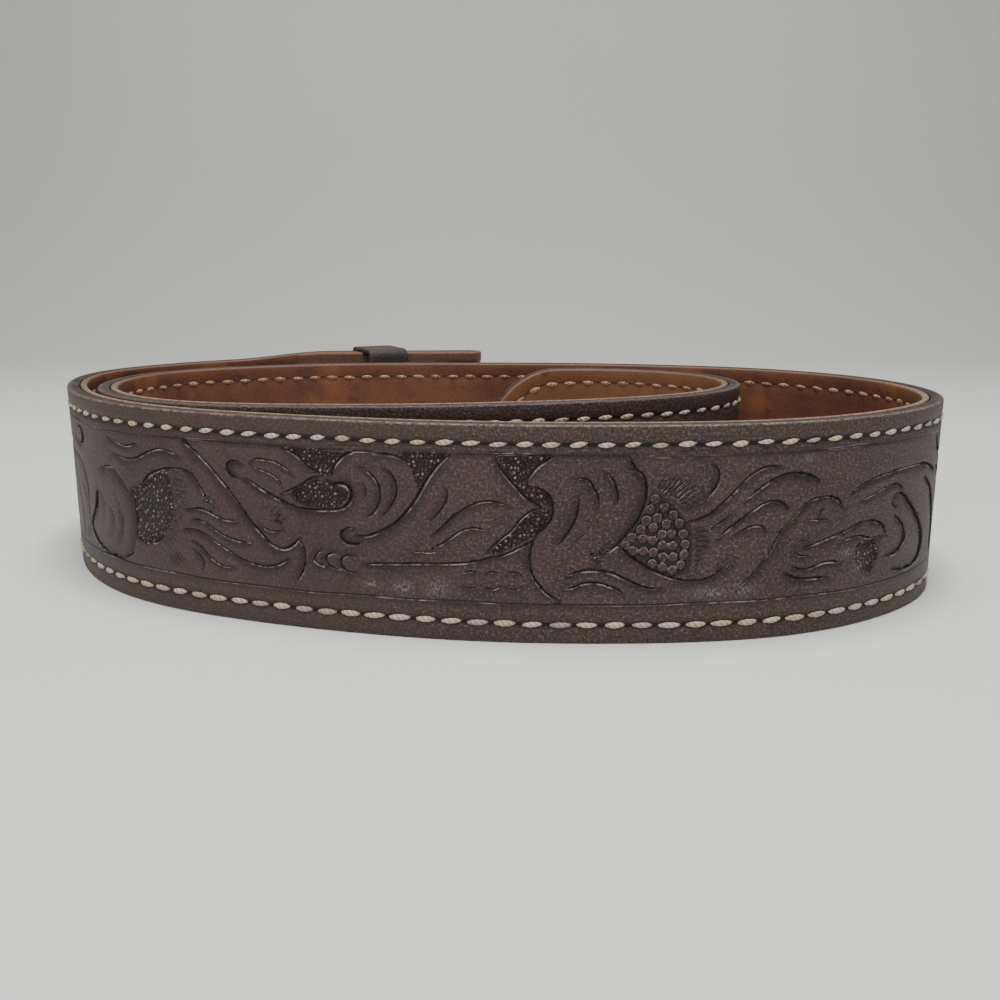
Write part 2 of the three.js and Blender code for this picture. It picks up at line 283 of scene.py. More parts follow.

# %% [markdown]
# The tooling chart is drawn along one repeat of the pattern, in millimetres from the
# buckle fold and up from the lower edge. Each row is one stroke of the swivel knife: how deeply
# its right-hand side is pressed down by the beveller, how wide the cut is, and the points that
# it passes through.

# %% Tooling chart: knife strokes
chart_start = 146.0
chart_period = 190.0
knife_strokes = [
    # (pressed, width, points)
    (0.6, 1.0, ((158, 31.5), (163.6, 30.4), (166.7, 31.1))),
    (0.6, 1.0, ((159.7, 28.6), (163, 27.9), (166.4, 28.3), (169.8, 29.8), (173.3, 30.8),
                (177.3, 29.9))),
    (1.0, 1.5, ((177.6, 33.4), (179.5, 32.3), (182.5, 30.1), (184.9, 27.8), (187.5, 25.2),
                (189.8, 22.5), (191.9, 19.7), (194.2, 17.2), (196.9, 14.9), (199, 14.6), (200.7, 15.5),
                (201.9, 16.7))),
    (0.8, 1.2, ((201.9, 16.5), (202.8, 14.8), (202.9, 12.6), (202.2, 10.3), (201.3, 8.9))),
    (0.8, 1.2, ((167.8, 23.8), (169.9, 25.6), (173.1, 26.9), (175.9, 27.4), (178.9, 27.3),
                (180.8, 26.3), (181.8, 24.9), (182.8, 23.2), (184, 21.6))),
    (0.9, 1.2, ((154.9, 25.2), (158.2, 25.7), (160.2, 24.6), (162.6, 22.6), (164, 21.6), (164.7, 19.6),
                (165, 17.3), (164.6, 12.2), (163.3, 9.2), (160.8, 7.9))),
    (0.9, 1.2, ((160.8, 7.8), (156.7, 7.6), (151.5, 8.1), (147.8, 9.3), (146.4, 12.2), (149.4, 16.1),
                (150.6, 19.4))),
    (0.6, 1.1, ((174.4, 26.4), (175, 24.4), (175.2, 22), (174.9, 18.6), (173.4, 15.4), (171.6, 13.2),
                (168.6, 12))),
    (0.4, 0.9, ((153.3, 19.6), (154.3, 17.5), (154.4, 15.3))),
    (0.4, 0.9, ((156.9, 17), (157.8, 14.2), (156.6, 11.7))),
    (0.4, 0.9, ((160, 18.6), (160.8, 16), (160.6, 13.2), (159.2, 10.7))),
    (0.7, 1.1, ((178.9, 20), (181.5, 20.4), (183.9, 19.9), (186.6, 18.9), (189.5, 18.8))),
    (0.7, 1.1, ((179.9, 18.2), (182.2, 18.1), (184.9, 16.7), (187.4, 15.6), (189.9, 15.1),
                (192, 14.9))),
    (0.7, 1.1, ((177.9, 16.1), (180.2, 16.3), (182.9, 15.5), (186, 13.8), (188.3, 12.7), (190.5, 11.6),
                (193, 11.1), (196, 11), (198.1, 11.8), (199.6, 12.7))),
    (0.6, 1.0, ((179.6, 14.2), (181.6, 13.1), (183.6, 11.2), (185.7, 10.1), (188.3, 10))),
    (0.5, 1.0, ((179.5, 12.8), (180.8, 11.6), (181.8, 10.4), (181.7, 8.9))),
    (0.8, 1.2, ((189.9, 26.7), (188.6, 27.2), (188.1, 28.2), (188.2, 29.3), (189.5, 29.9),
                (191.2, 29.4))),
    (0.9, 1.3, ((191.5, 26.8), (193.1, 26.2), (195, 25.1), (197.2, 24), (199.5, 23.1), (202.1, 22.2),
                (204.4, 22.1), (207.1, 22.2), (210.1, 22.7), (211.4, 23.7), (212, 25.3), (211.5, 26.6),
                (210.2, 27.1), (208.8, 26.9), (207.4, 27.5))),
    (0.7, 1.1, ((198.8, 24.5), (202.1, 26.1), (204.5, 27.6), (206.6, 28.3))),
    (0.5, 0.9, ((192.7, 29.6), (193.8, 30.4), (195, 30.5), (197.3, 30.3), (199.4, 29.5), (201.3, 28))),
    (0.5, 0.9, ((193.1, 29.1), (194.6, 28.7), (196.4, 28.2), (197.9, 27.4), (199.2, 25.9))),
    (0.8, 1.2, ((199.4, 32.6), (200.9, 32.2), (202.4, 31.3), (203.7, 30.1), (205.1, 29.1),
                (206.8, 28.4))),
    (0.8, 1.3, ((208.4, 28.3), (208.9, 30.1), (210, 31.3), (211.2, 32.3), (213.7, 33), (216.2, 32.8),
                (219.7, 32.5), (221.1, 32), (222.3, 31.1))),
    (0.6, 1.1, ((213.8, 30.1), (215.4, 29.3), (216.6, 28), (217.3, 26.1), (217, 24), (216.1, 22.4),
                (215, 21.3))),
    (0.6, 1.1, ((218.2, 30.1), (219.4, 29), (220.1, 27.5), (220.1, 25.6), (219.1, 23.6),
                (217.8, 21.9))),
    (0.4, 0.9, ((213.5, 27.3), (214.4, 26.9), (214.7, 25.8), (214.5, 24.8))),
    (0.8, 1.2, ((213.3, 16.5), (211.2, 16.4), (210.1, 17.3), (209.9, 18.3), (210.8, 19.1),
                (212.3, 19.3))),
    (0.9, 1.3, ((212.7, 18.1), (214.3, 18), (216.3, 18.7), (218.9, 20.1), (220.7, 21.6), (221.9, 23),
                (223.2, 24.7), (224.2, 26.4), (225.1, 28), (226.4, 30), (227.9, 31.7), (229.3, 32.7))),
    (0.3, 0.9, ((194.5, 18.8), (195.2, 18), (196.6, 17.6), (198.8, 17.9))),
    (0.2, 0.8, ((195.2, 21.8), (197.1, 22.2))),
    (0.2, 0.8, ((196.9, 20.5), (199, 20.9))),
    (0.2, 0.8, ((196.7, 19.6), (198.3, 19.3), (199, 18.3))),
    (0.5, 1.1, ((206.2, 14.8), (205, 13.9), (204.8, 12.9), (205.9, 12.2), (207.2, 11.7))),
    (0.5, 1.1, ((209.2, 14.5), (207.6, 14.3), (206.9, 13.4), (207.5, 12.4), (208.6, 11.8),
                (209.7, 11.5))),
    (0.5, 1.1, ((212.1, 14.2), (210.6, 14.2), (209.8, 13.3), (210, 12.2), (211.1, 11.4),
                (212.6, 11.4))),
    (0.7, 1.2, ((214, 12.9), (216, 13.2), (220.5, 13.5), (225.4, 13.8), (229.7, 14), (233.5, 14.5),
                (235.9, 15.2), (238.4, 15.8), (240.9, 17.1), (243.3, 18.4))),
    (0.8, 1.2, ((236.9, 32.5), (238.7, 29.6), (240.6, 27.4), (241.9, 25.9), (243.5, 24.9),
                (244.9, 24.3))),
    (0.5, 1.0, ((228.7, 27.2), (228.9, 25.6), (228, 23.6), (226.1, 21.4))),
    (0.6, 1.0, ((226.3, 18.9), (228.1, 20.5), (229.8, 22.3), (231.7, 23.6), (233.7, 24.7),
                (235.6, 25.1), (237.1, 25), (239.2, 24.3))),
    (0.5, 1.0, ((226, 16.4), (227.7, 17.3), (229.5, 18.6), (231.3, 19.9), (233.4, 20.4),
                (235.8, 19.9))),
    (0.4, 0.9, ((223.2, 15.7), (228, 15.9))),
    (0.8, 1.2, ((242.2, 28.6), (243.2, 30.4), (244.5, 31.6), (246.5, 32.8))),
    (0.8, 1.2, ((242.6, 27.8), (244.5, 27.3), (246, 26.2), (246.5, 24.6), (246.4, 22.5), (245.4, 20.8),
                (243.7, 19.3))),
    (0.7, 1.1, ((235.7, 16.4), (237.9, 18.6), (239.6, 20), (240.9, 21.8), (242.7, 23.4),
                (244.8, 24.2))),
    (0.8, 1.2, ((243.8, 19.2), (242.9, 16.9), (242.8, 14.5), (243.3, 12.3), (244.5, 10.4), (246.2, 8.7),
                (248, 7.8))),
    (0.6, 1.1, ((250.4, 29.2), (251.8, 29.2), (252.7, 28.6), (253.4, 27.3), (254, 26.1),
                (254.2, 24.4))),
    (0.6, 1.1, ((255, 30.4), (256.1, 29.4), (256.8, 28.2), (257.1, 26.9), (257.3, 25.7), (257, 24.7))),
    (0.6, 1.1, ((250.9, 25.9), (250.7, 24.2), (250.4, 22.5), (249.8, 21.1), (249, 19.6),
                (247.4, 17.6))),
    (0.3, 0.8, ((251.8, 19.5), (250.3, 18.3))),
    (0.9, 1.2, ((258.8, 33), (260.2, 30.8), (261.4, 29.8), (261.9, 28.3), (262, 26.7), (261.8, 25.2),
                (261.1, 23), (260.3, 21.5), (258.9, 19.6), (257.6, 18.1), (255.8, 16.6), (254.2, 15.8),
                (252.9, 16.1))),
    (0.9, 1.3, ((257.6, 17.6), (259.8, 15.6), (262.4, 13.8), (264.8, 12.6), (266.9, 11.8),
                (269.5, 11.3), (272, 11.4), (273.8, 12), (275.6, 13.6))),
    (0.8, 1.3, ((249.1, 12.2), (250.4, 12.9), (251.8, 13.2), (253.4, 13.3), (255.4, 13.1),
                (256.9, 12.7), (258.7, 11.8), (260.6, 10.9), (262, 10.3), (263.7, 10), (265.3, 10.1))),
    (0.7, 1.2, ((248.4, 9.8), (250, 10.2), (251.2, 10.8), (253, 11.1), (254.7, 11), (256.1, 10.5),
                (257.4, 10), (258.6, 8.9))),
    (0.6, 1.1, ((272.9, 31.6), (273.9, 30.4), (274, 29), (273.5, 27.5), (272.4, 25.9))),
    (0.9, 1.4, ((269.2, 21.8), (270.8, 22.1), (272.8, 23), (274.4, 24.4), (276, 25.9), (277.2, 27.2),
                (278, 28.1), (279.4, 29.4), (281, 30.3), (282.7, 30.8), (284.6, 30.8))),
    (0.9, 1.4, ((279.1, 25.2), (280.6, 26.6), (282.1, 27.7), (283.7, 28.6), (285.4, 29.2),
                (287.2, 29.4), (289.1, 29.2), (290.8, 28.7), (292.2, 27.9))),
    (0.9, 1.3, ((274.2, 18.6), (275.9, 20.2), (277.5, 21.4), (279.3, 22.7), (280.8, 23.7),
                (282.3, 24.5), (284, 24.8), (285.3, 24.4), (286.6, 23.4))),
    (0.6, 1.1, ((276.9, 18.9), (278.2, 19.7), (279.7, 20.4), (281, 20.6), (282.1, 20.3),
                (282.9, 19.6))),
    (0.5, 1.0, ((273.2, 20.3), (274.6, 21.4), (276.2, 22.8))),
    (0.9, 1.2, ((278, 9.3), (279.6, 10.8), (280.8, 12.1), (282.4, 14), (283.7, 15.8), (284.6, 17.5),
                (285.5, 19.3), (287.1, 21), (288.6, 22.6), (290, 23.8), (291.8, 24.6), (294.3, 24.8),
                (296.4, 24.1), (297.7, 22.9))),
    (0.3, 0.9, ((293.6, 22.7), (292.5, 20.8))),
    (0.3, 0.9, ((290.3, 20.9), (294.5, 20.7))),
    (0.3, 0.9, ((292.2, 18), (293.4, 18.8))),
    (0.6, 1.2, ((288.1, 16.2), (289.3, 17.2), (290.8, 17.3))),
    (0.9, 1.3, ((290, 16), (292.2, 16.5), (294.7, 17.1), (297, 17.7), (299.6, 18.4), (302.8, 19.4))),
    (0.6, 1.2, ((288.1, 15.4), (289.5, 14.6), (291, 14.4))),
    (0.7, 1.3, ((288.3, 12.6), (290.1, 12.1), (292.1, 12.3), (293.8, 12.8), (295.8, 12.9),
                (298.1, 12.4))),
    (0.7, 1.3, ((286.8, 11.6), (288.8, 10.7), (291, 10.3), (293, 10.2), (295.5, 10.1))),
    (0.8, 1.2, ((299.6, 25), (301.4, 25.9), (305, 26.9), (309.6, 27.5), (315.8, 27.8), (322, 27.4),
                (327, 25.6))),
    (0.6, 1.1, ((301.8, 23.2), (304.8, 23.9), (308.7, 24.9), (311.4, 25), (313.6, 24))),
    (0.9, 1.3, ((311.2, 20.7), (310.4, 22), (311.4, 23.2), (313.6, 22.9), (317.1, 20.2), (320.9, 16.6),
                (323.4, 12.6), (322.2, 9.2), (317.7, 8), (312.3, 8.6))),
    (0.6, 1.1, ((311.8, 19), (314.6, 16.6), (315.4, 14), (313.2, 12), (309.9, 11.6))),
    (0.7, 1.2, ((322.6, 24.6), (326.2, 21.8), (329.2, 17.4), (331, 12.8), (330.3, 8.4))),
    (0.8, 1.2, ((302.6, 19.3), (305.6, 19.1), (308.2, 17.8), (309.2, 15.9))),
    (0.7, 1.1, ((297.5, 16.3), (301.9, 16.8), (305.2, 15.9), (308.7, 16.2))),
    (0.7, 1.2, ((327.4, 32.4), (329.6, 29.4), (332.6, 28.2), (334.8, 29.6), (333.8, 31.6),
                (331.6, 31.4))),
    (0.7, 1.2, ((330.4, 25.6), (333.4, 24.4), (335.8, 21.4), (336.4, 17.4))),
    (0.6, 1.1, ((333.2, 19.6), (335.6, 15.8), (335.8, 11.6), (333.6, 8.6))),
]
for start in (231.3, 234.9, 238.6):
    for foot, top in ((12, 12.6), (10.4, 9.8)):
        stamp = ((start, foot), (start + 0.7, top), (start + 2.3, top), (start + 3, foot))
        knife_strokes.append((0.3, 0.9, stamp))
print("knife strokes in one repeat:", len(knife_strokes))

# %% [markdown]
# Between the scrolls the maker stamped a pebbled ground, a triangle of ring seeds and fans of fine
# hair lines. The grounds are outlines, the seeds are centres, and the fans are short strokes.

# %% Tooling chart: grounds, seeds and fine lines
pebble_grounds = [
    ((163.8, 22), (167.7, 23.3), (170.7, 25.3), (174.3, 26.5), (174.8, 24.6), (175.1, 22),
     (174.8, 18.6), (173.2, 15.3), (171.5, 13.1), (168.4, 11.9), (166.4, 12), (164.8, 13.1),
     (165.3, 17.3), (164.8, 20.1)),
    ((200.6, 32.6), (210.6, 32.9), (209.6, 31.4), (208.6, 30), (208.1, 28.4), (207, 28.5),
     (205.2, 29.5), (203.7, 30.6), (202.4, 31.6)),
    ((201, 25), (203.4, 26.2), (205.4, 27.2), (207.2, 27), (209.4, 26.4), (211.2, 25.4), (210.8, 24),
     (209, 22.9), (206, 22.7), (203.4, 22.9), (201.4, 23.6)),
    ((221.6, 32.8), (228.8, 32.9), (227.6, 31.8), (226.2, 30.1), (225, 28.4), (224.1, 26.8),
     (223.6, 28.7), (222.8, 30.5), (221.9, 31.7)),
    ((237.7, 32.6), (246, 32.7), (244.2, 31.7), (242.9, 30.4), (241.9, 28.8), (242.3, 27.6),
     (244.2, 27), (245.6, 26), (246, 24.6), (243.6, 25.2), (241.9, 26.3), (240.6, 27.8), (238.9, 30)),
    ((302, 15.3), (305.9, 15.2), (307.4, 12.6), (305.6, 9.4), (302.6, 10.4), (301.4, 12.8)),
    ((236.4, 16), (238.2, 16.5), (240.6, 17.8), (242.6, 18.9), (244.4, 20.2), (245.6, 21.8),
     (245.8, 23.6), (244.8, 23.7), (243, 22.9), (241.2, 21.2), (239.8, 19.4), (238, 17.8)),
]
seed_outline = ((262.9, 26.9), (264.4, 26.2), (266.2, 24.9), (268.1, 22.8), (269.5, 21), (270, 18.9),
                (270.1, 14.9), (269.5, 12.6), (267.3, 11.9), (265.4, 12.3), (262.4, 13.6), (259.5, 15.4),
                (257.6, 17.4), (259, 19.1), (260.6, 21.6), (261.7, 23.4), (262.4, 25.3))
seed_rings = (
    (263.5, 25.6), (262.7, 23.8), (265.1, 24.1), (262.1, 21.9), (264, 22.3), (266.6, 22.8),
    (261.2, 20.3), (263.3, 20.6), (265.5, 21.2), (267.7, 21.3), (259.8, 18.9), (261.6, 18.7),
    (263.2, 18.4), (264.8, 19.4), (266.4, 19.5), (268.4, 19.4), (258.7, 17.5), (260, 16.6),
    (261.8, 16.5), (263.4, 16.3), (265, 17.5), (266.7, 17.4), (268.8, 17.6), (265.1, 15.5),
    (266.8, 15.4), (268.7, 15.8), (263.3, 14.3), (265.1, 13.6), (266.8, 13.1), (268.2, 14),
)
seed_radius = 0.93
hair_fans = [
    # (count, where the lines start, where they end)
    (11, ((263.6, 27.3), (265.4, 26.6), (267.1, 25.4), (268.8, 23.7)),
     ((264.8, 29.3), (267.7, 29.2), (270.2, 27.6), (272.2, 25))),
    (11, ((270.1, 20.5), (270.4, 18.3), (270.4, 15.8), (269.4, 12.6)),
     ((273.1, 20.9), (272.7, 18.3), (272.2, 15.6), (270.6, 12.1))),
    (15, ((175.6, 26.4), (176, 23.4), (175.8, 20.4), (174.4, 17), (172.4, 13.5)),
     ((177.8, 26.4), (178.4, 23.3), (178, 20.1), (176.2, 16.2), (174, 12.4))),
    (3, ((254.2, 16.4), (255.2, 16)), ((255.2, 18), (256.2, 17.4))),
    (3, ((252.6, 14.4), (254, 14.3)), ((253.6, 15.9), (254.9, 15.6))),
    (5, ((274.4, 13.4), (275.4, 14.3), (276.2, 15.6)), ((276, 12.2), (277.2, 13.4), (278, 15))),
    (4, ((182.6, 22), (184, 20.2)), ((184, 22.9), (185.5, 21.2))),
    (4, ((174, 10.4), (176.2, 11.4)), ((175.2, 8.9), (177.6, 9.9))),
    (4, ((196.4, 20.9), (198.4, 19.4)), ((197.6, 22.1), (199.6, 20.4))),
]
scuffs = [
    # (run, height, half length, half height)
    (215.5, 9.4, 1.6, 0.7), (221, 9.2, 2.0, 1.1), (227, 9.2, 2.0, 1.4), (273.5, 9.0, 3.0, 0.9),
    (279, 9.4, 2.0, 1.1), (302.5, 10.8, 1.8, 1.0), (290, 31.8, 1.0, 0.6), (299, 13.8, 1.4, 0.7),
]
print("grounds:", len(pebble_grounds), "seeds:", len(seed_rings), "fans:", len(hair_fans))

# %% [markdown]
# To carve the leather, every point of the flat grain side needs to know how far it is from the
# nearest cut and on which side. The strokes are smoothed, repeated along the strap with their
# period, and measured against the points in short stretches, so that only near strokes count.

# %% Strokes repeated along the strap
border_top = 32.9
border_low = 7.2
borders = (
    # (height, where its waver starts, width)
    (border_top, 0.0, 0.5),
    (border_top + 0.8, 2.6, 0.25),
    (border_low, 1.9, 0.8),
)
hair_width = 0.64
tooled_from = 60.0
tooled_to = strap_length - 122.0
stroke_type = [("ax", float), ("ay", float), ("bx", float), ("by", float), ("width", float),
               ("pressed", float), ("stroke", int)]


def segments_of(points, width, pressed, stroke, taper=2.5):
    """The pieces of one stroke; the blade lifts at both ends, so the cut is narrower there."""
    points = np.array(points, float)
    run = run_along(points)
    rows = []
    for (a, b, start, end) in zip(points[:-1], points[1:], run[:-1], run[1:]):
        mid = (start + end) / 2
        share = min(1.0, 0.35 + min(mid, run[-1] - mid) / taper)
        rows.append((*a, *b, width * share, pressed, stroke))
    return rows


def spread(knots, count):
    """So many points evenly along the curve through the knots."""
    line = curve_through(np.array(knots, float), 8)
    return even_steps(line, run_along(line)[-1] / (count - 1))


def whole_chart():
    """Every stroke along the strap as one table of short straight pieces."""
    rows = []
    stroke = 0
    for repeat in range(-1, 4):
        shift = np.array([repeat * chart_period, 0])
        for pressed, width, points in knife_strokes:
            smooth = curve_through(np.array(points, float), 3) + shift
            rows += segments_of(smooth, width, pressed, stroke)
            stroke += 1
        for count, starts, ends in hair_fans:
            for start, end in zip(spread(starts, count), spread(ends, count)):
                rows += segments_of(np.array([start, end]) + shift, hair_width, 0.0, stroke)
                stroke += 1
    marks = np.arange(tooled_from, tooled_to, 6.0)
    for level, phase, width in borders:
        wave = level + 0.12 * np.sin(marks / 9 + phase) + 0.07 * np.sin(marks / 3.1 + phase)
        rows += segments_of(np.column_stack([marks, wave]), width, 0.0, stroke)
        stroke += 1
    for end in (tooled_from, tooled_to):
        rows += segments_of([(end, border_low), (end, border_top)], 0.7, 0.0, stroke)
        stroke += 1
    table = np.array(rows, dtype=stroke_type)
    near = (table["ax"] > tooled_from - 1) & (table["ax"] < tooled_to + 1)
    return table[near]


chart = whole_chart()
print("pieces of stroke along the strap:", len(chart))

# %% [markdown]
# The distances are plain geometry: how far a point lies from each straight piece, and on which side.
# An image of the carving would blur close up. Numbers measured at each point stay sharp, and the
# same numbers drive both the relief of the mesh and the colour of the finish.

# %% Distances to the strokes
far = 9.0
bevel_reach = 3.0


def measure(run, height, pieces):
    """For each point: distance to each piece, which side of it, and how far above it."""
    px, py = run[:, None], height[:, None]
    dx, dy = pieces["bx"] - pieces["ax"], pieces["by"] - pieces["ay"]
    share = ((px - pieces["ax"]) * dx + (py - pieces["ay"]) * dy) / np.maximum(dx**2 + dy**2, 1e-9)
    share = np.clip(share, 0, 1)
    near_x, near_y = pieces["ax"] + share * dx, pieces["ay"] + share * dy
    distance = np.hypot(px - near_x, py - near_y)
    side = np.sign(dx * (py - pieces["ay"]) - dy * (px - pieces["ax"]))
    return distance, side, py - near_y


def stretches(run, pitch=8.0):
    """Indices of the points in each short stretch of the strap."""
    order = np.argsort(run, kind="stable")
    cuts = np.arange(run.min(), run.max() + pitch, pitch)
    edges = np.searchsorted(run[order], cuts)
    for low, first, last in zip(cuts, edges, edges[1:]):
        if last > first:
            yield low, low + pitch, order[first:last]


def cut_field(run, height):
    """The chart at each point: signed and plain distance to the nearest cut, depth, and upper side."""
    count = len(run)
    field = {"cut": np.full(count, far), "reach": np.full(count, far)}
    field.update(relief=np.zeros(count), upper=np.zeros(count))
    for low, high, chosen in stretches(run):
        first_x, last_x = np.minimum(chart["ax"], chart["bx"]), np.maximum(chart["ax"], chart["bx"])
        pieces = chart[(last_x > low - 4) & (first_x < high + 4)]
        if not len(pieces):
            continue
        distance, side, above = measure(run[chosen], height[chosen], pieces)
        starts = np.flatnonzero(np.diff(pieces["stroke"], prepend=-1))
        by_stroke = np.minimum.reduceat(distance, starts, axis=1)
        nearest = distance.argmin(1)
        rows = np.arange(len(chosen))
        first = distance[rows, nearest]
        second = np.partition(by_stroke, 1, axis=1)[:, 1] if by_stroke.shape[1] > 1 else first + far
        which = side[rows, nearest]
        width = pieces["width"][nearest]
        pressed = pieces["pressed"][nearest]
        fade = np.clip(1 - first / np.minimum(bevel_reach, (first + second) / 2 + 1e-6), 0, 1) ** 1.5
        field["cut"][chosen] = which * first / width
        field["reach"][chosen] = first / width
        field["relief"][chosen] = np.where(which < 0, -pressed * fade, 0)
        field["upper"][chosen] = above[rows, nearest] / np.maximum(first, 0.05)
    return field


def outline_distance(run, height, outline):
    """Distance to a closed outline, positive inside it."""
    corners = np.array(outline, float)
    after = np.roll(corners, -1, axis=0)
    pieces = np.zeros(len(corners), dtype=stroke_type)
    pieces["ax"], pieces["ay"] = corners.T
    pieces["bx"], pieces["by"] = after.T
    distance, _, _ = measure(run, height, pieces)
    crosses = (corners[:, 1] > height[:, None]) != (after[:, 1] > height[:, None])
    rise = after[:, 1] - corners[:, 1]
    slope = (after[:, 0] - corners[:, 0]) / np.where(rise == 0, 1e-9, rise)
    left = run[:, None] < corners[:, 0] + slope * (height[:, None] - corners[:, 1])
    inside = (crosses & left).sum(1) % 2 == 1
    return np.where(inside, 1, -1) * distance.min(1)


def ground_field(run, height):
    """Distance into the grounds; distance from the middle of the nearest seed, no less than the
    seed's radius where it touches the next one; and how far above that middle the point lies."""
    folded = chart_start + np.mod(run - chart_start, chart_period)
    field = {"pebbled": np.full(len(run), -far), "seed": np.full(len(run), far)}
    field["seeded"] = outline_distance(folded, height, seed_outline)
    for outline in pebble_grounds:
        field["pebbled"] = np.maximum(field["pebbled"], outline_distance(folded, height, outline))
    near = np.flatnonzero(field["seeded"] > -1.5)
    rings = np.array(seed_rings)
    above = height[near, None] - rings[:, 1]
    gaps = np.hypot(folded[near, None] - rings[:, 0], above)
    order = gaps.argsort(1)
    rows = np.arange(len(near))
    first, second = gaps[rows, order[:, 0]], gaps[rows, order[:, 1]]
    field["seed"][near] = np.maximum(first, seed_radius - (second - first) / 2)
    field["seed_side"] = np.zeros(len(run))
    field["seed_side"][near] = above[rows, order[:, 0]] / np.maximum(first, 0.05)
    outside = (run < tooled_from) | (run > tooled_to)
    for name in ("pebbled", "seeded"):
        field[name][outside] = -far
    return field


print("the chart covers", round(tooled_to - tooled_from), "mm of the strap")

# %% [markdown]
# Two rows of stitches hold the layers together. The sewing line runs about 3.5 mm inside each edge
# and round the tip. It could be drawn as one curve, but each row has its own inset and stitch in
# the photograph, so each stitch gets a place of its own. The places also set the groove and pricks.

# %% The sewing line
stitch_pitch = 4.455
stitch_rows = [
    # (inset from the edge, first mark, length, width, pointedness)
    (3.65, 1.75, 3.85, 1.12, 0.5),
    (3.3, 1.24, 3.3, 0.98, 0.8),
    (3.5, 0.0, 3.4, 1.1, 0.6),
]
tip_start = strap_length - tip_length


def soft_step(low, high, value):
    """A smooth step from 0 at low to 1 at high."""
    share = np.clip((value - low) / (high - low), 0, 1)
    return share * share * (3 - 2 * share)


def row_place(row, mark):
    """Where a stitch of a row falls: across the front the lower row sinks and its stitches lengthen."""
    if row == 1:
        return mark, strap_width - stitch_rows[1][0]
    return mark + 2.5 * soft_step(212, 285, mark), stitch_rows[0][0] - 0.35 * soft_step(212, 262, mark)


def tip_outline(inset, count):
    """Points round the half-ellipse of the tip, drawn in by the inset, from the lower edge up."""
    angle = np.linspace(-math.pi / 2, math.pi / 2, count)
    half = strap_width / 2
    place = np.column_stack([tip_start + tip_length * np.cos(angle), half + half * np.sin(angle)])
    normal = np.column_stack([np.cos(angle) / tip_length, np.sin(angle) / half])
    normal /= np.hypot(*normal.T)[:, None]
    return place - normal * inset


def stitch_places(start):
    """The middle, direction and row of every stitch on one face that begins at start."""
    places, ends = [], []
    for row in (0, 1):
        marks = np.arange(stitch_rows[row][1], tip_start - 4, stitch_pitch)
        places += [(*row_place(row, mark), math.pi * row, row) for mark in marks[marks > start]]
        ends.append((places[-1][0] + stitch_pitch / 2, places[-1][1]))
    arc = np.vstack([ends[:1], tip_outline(stitch_rows[2][0], 200)[1:-1], ends[1:]])
    run = run_along(arc)
    count = int(round(run[-1] / stitch_pitch))
    for i in range(count):
        at = (i + 0.5) * run[-1] / count
        x, y = (np.interp(at, run, arc[:, axis]) for axis in (0, 1))
        ax, ay = (np.interp(at + 0.4, run, arc[:, axis]) for axis in (0, 1))
        places.append((x, y, math.atan2(ay - y, ax - x), 2))
    return places


def stitch_gaps(places):
    """The gap after each stitch, painted dark as shade: its middle, its direction and half its length.
    """
    half = stitch_pitch / 2
    return np.array([
        (x + math.cos(turn) * half, y + math.sin(turn) * half, turn,
         half - stitch_rows[row][2] / 2 + 0.4)
        for x, y, turn, row in places
    ])


outer_stitches = stitch_places(1.0)
inner_stitches = stitch_places(47.5)
print("stitches outside and inside:", len(outer_stitches), len(inner_stitches))

# %% [markdown]
# Under the thread the leather is pressed into a groove, and the awl's pricks between the stitches
# are painted dark as the shade in their holes. Both are found as the tooling is: by the distance to
# the nearest gap between stitches.

# %% Groove and pricks


def sewing_field(run, height, gaps):
    """How far each point is across the sewing line, and along it from the middle of the nearest gap."""
    field = {"sewn": np.full(len(run), far), "gap": np.full(len(run), far)}
    for low, high, chosen in stretches(run):
        near = gaps[(gaps[:, 0] > low - 5) & (gaps[:, 0] < high + 5)]
        if not len(near):
            continue
        dx = run[chosen, None] - near[:, 0]
        dy = height[chosen, None] - near[:, 1]
        nearest = np.hypot(dx, dy).argmin(1)
        rows = np.arange(len(chosen))
        dx, dy = dx[rows, nearest], dy[rows, nearest]
        turn, half = near[nearest, 2], near[nearest, 3]
        field["gap"][chosen] = np.abs(dx * np.cos(turn) + dy * np.sin(turn)) / half
        field["sewn"][chosen] = dy * np.cos(turn) - dx * np.sin(turn)
    return field


def groove(fields, depth):
    """How deep the leather is pressed under the thread."""
    return depth * (1 - soft_step(0.25, 1.0, np.abs(fields["sewn"])))


def cut_edges(height, corner):
    """1 on the two cut edges of a strip and 0 on its face."""
    upper = soft_step(strap_width - corner, strap_width - 0.15, height)
    return np.maximum(upper, 1 - soft_step(0.1, corner, height))


print("gaps between stitches are about", round(stitch_pitch - stitch_rows[0][2], 2), "mm long")

# %% [markdown]
# A strap's cross-section is a thin bar with rounded edges. Its outline is drawn once, finely on the
# side that is carved and coarsely on the side that nobody sees. A flat grid is wrapped round the
# outline, one column of the grid for each ring along the strap, so the rings can crowd where the
# carving shows and spread out where it does not.

# %% A flat strip


def quarter(height, out, radius, start, steps):
    """Points of a quarter circle round a centre, from a start angle on towards the next side."""
    angles = np.radians(np.linspace(start, start - 90, steps + 1))
    return [(height + radius * math.cos(a), out + radius * math.sin(a)) for a in angles]


def strip_outline(thickness, front_cells, back_cells, front_round, back_round, steps=3):
    """The cross-section's points as (height, out), with the front side up."""
    half, top = thickness / 2, strap_width
    points = [(h, half) for h in np.linspace(front_round, top - front_round, front_cells + 1)]
    points += quarter(top - front_round, half - front_round, front_round, 90, steps)[1:]
    points += [(top, 0.0)] + quarter(top - back_round, back_round - half, back_round, 0, steps)
    points += [(h, -half) for h in np.linspace(top - back_round, back_round, back_cells + 1)[1:]]
    points += quarter(back_round, back_round - half, back_round, -90, steps)[1:] + [(0.0, 0.0)]
    points += quarter(front_round, half - front_round, front_round, 180, steps)[:-1]
    return points


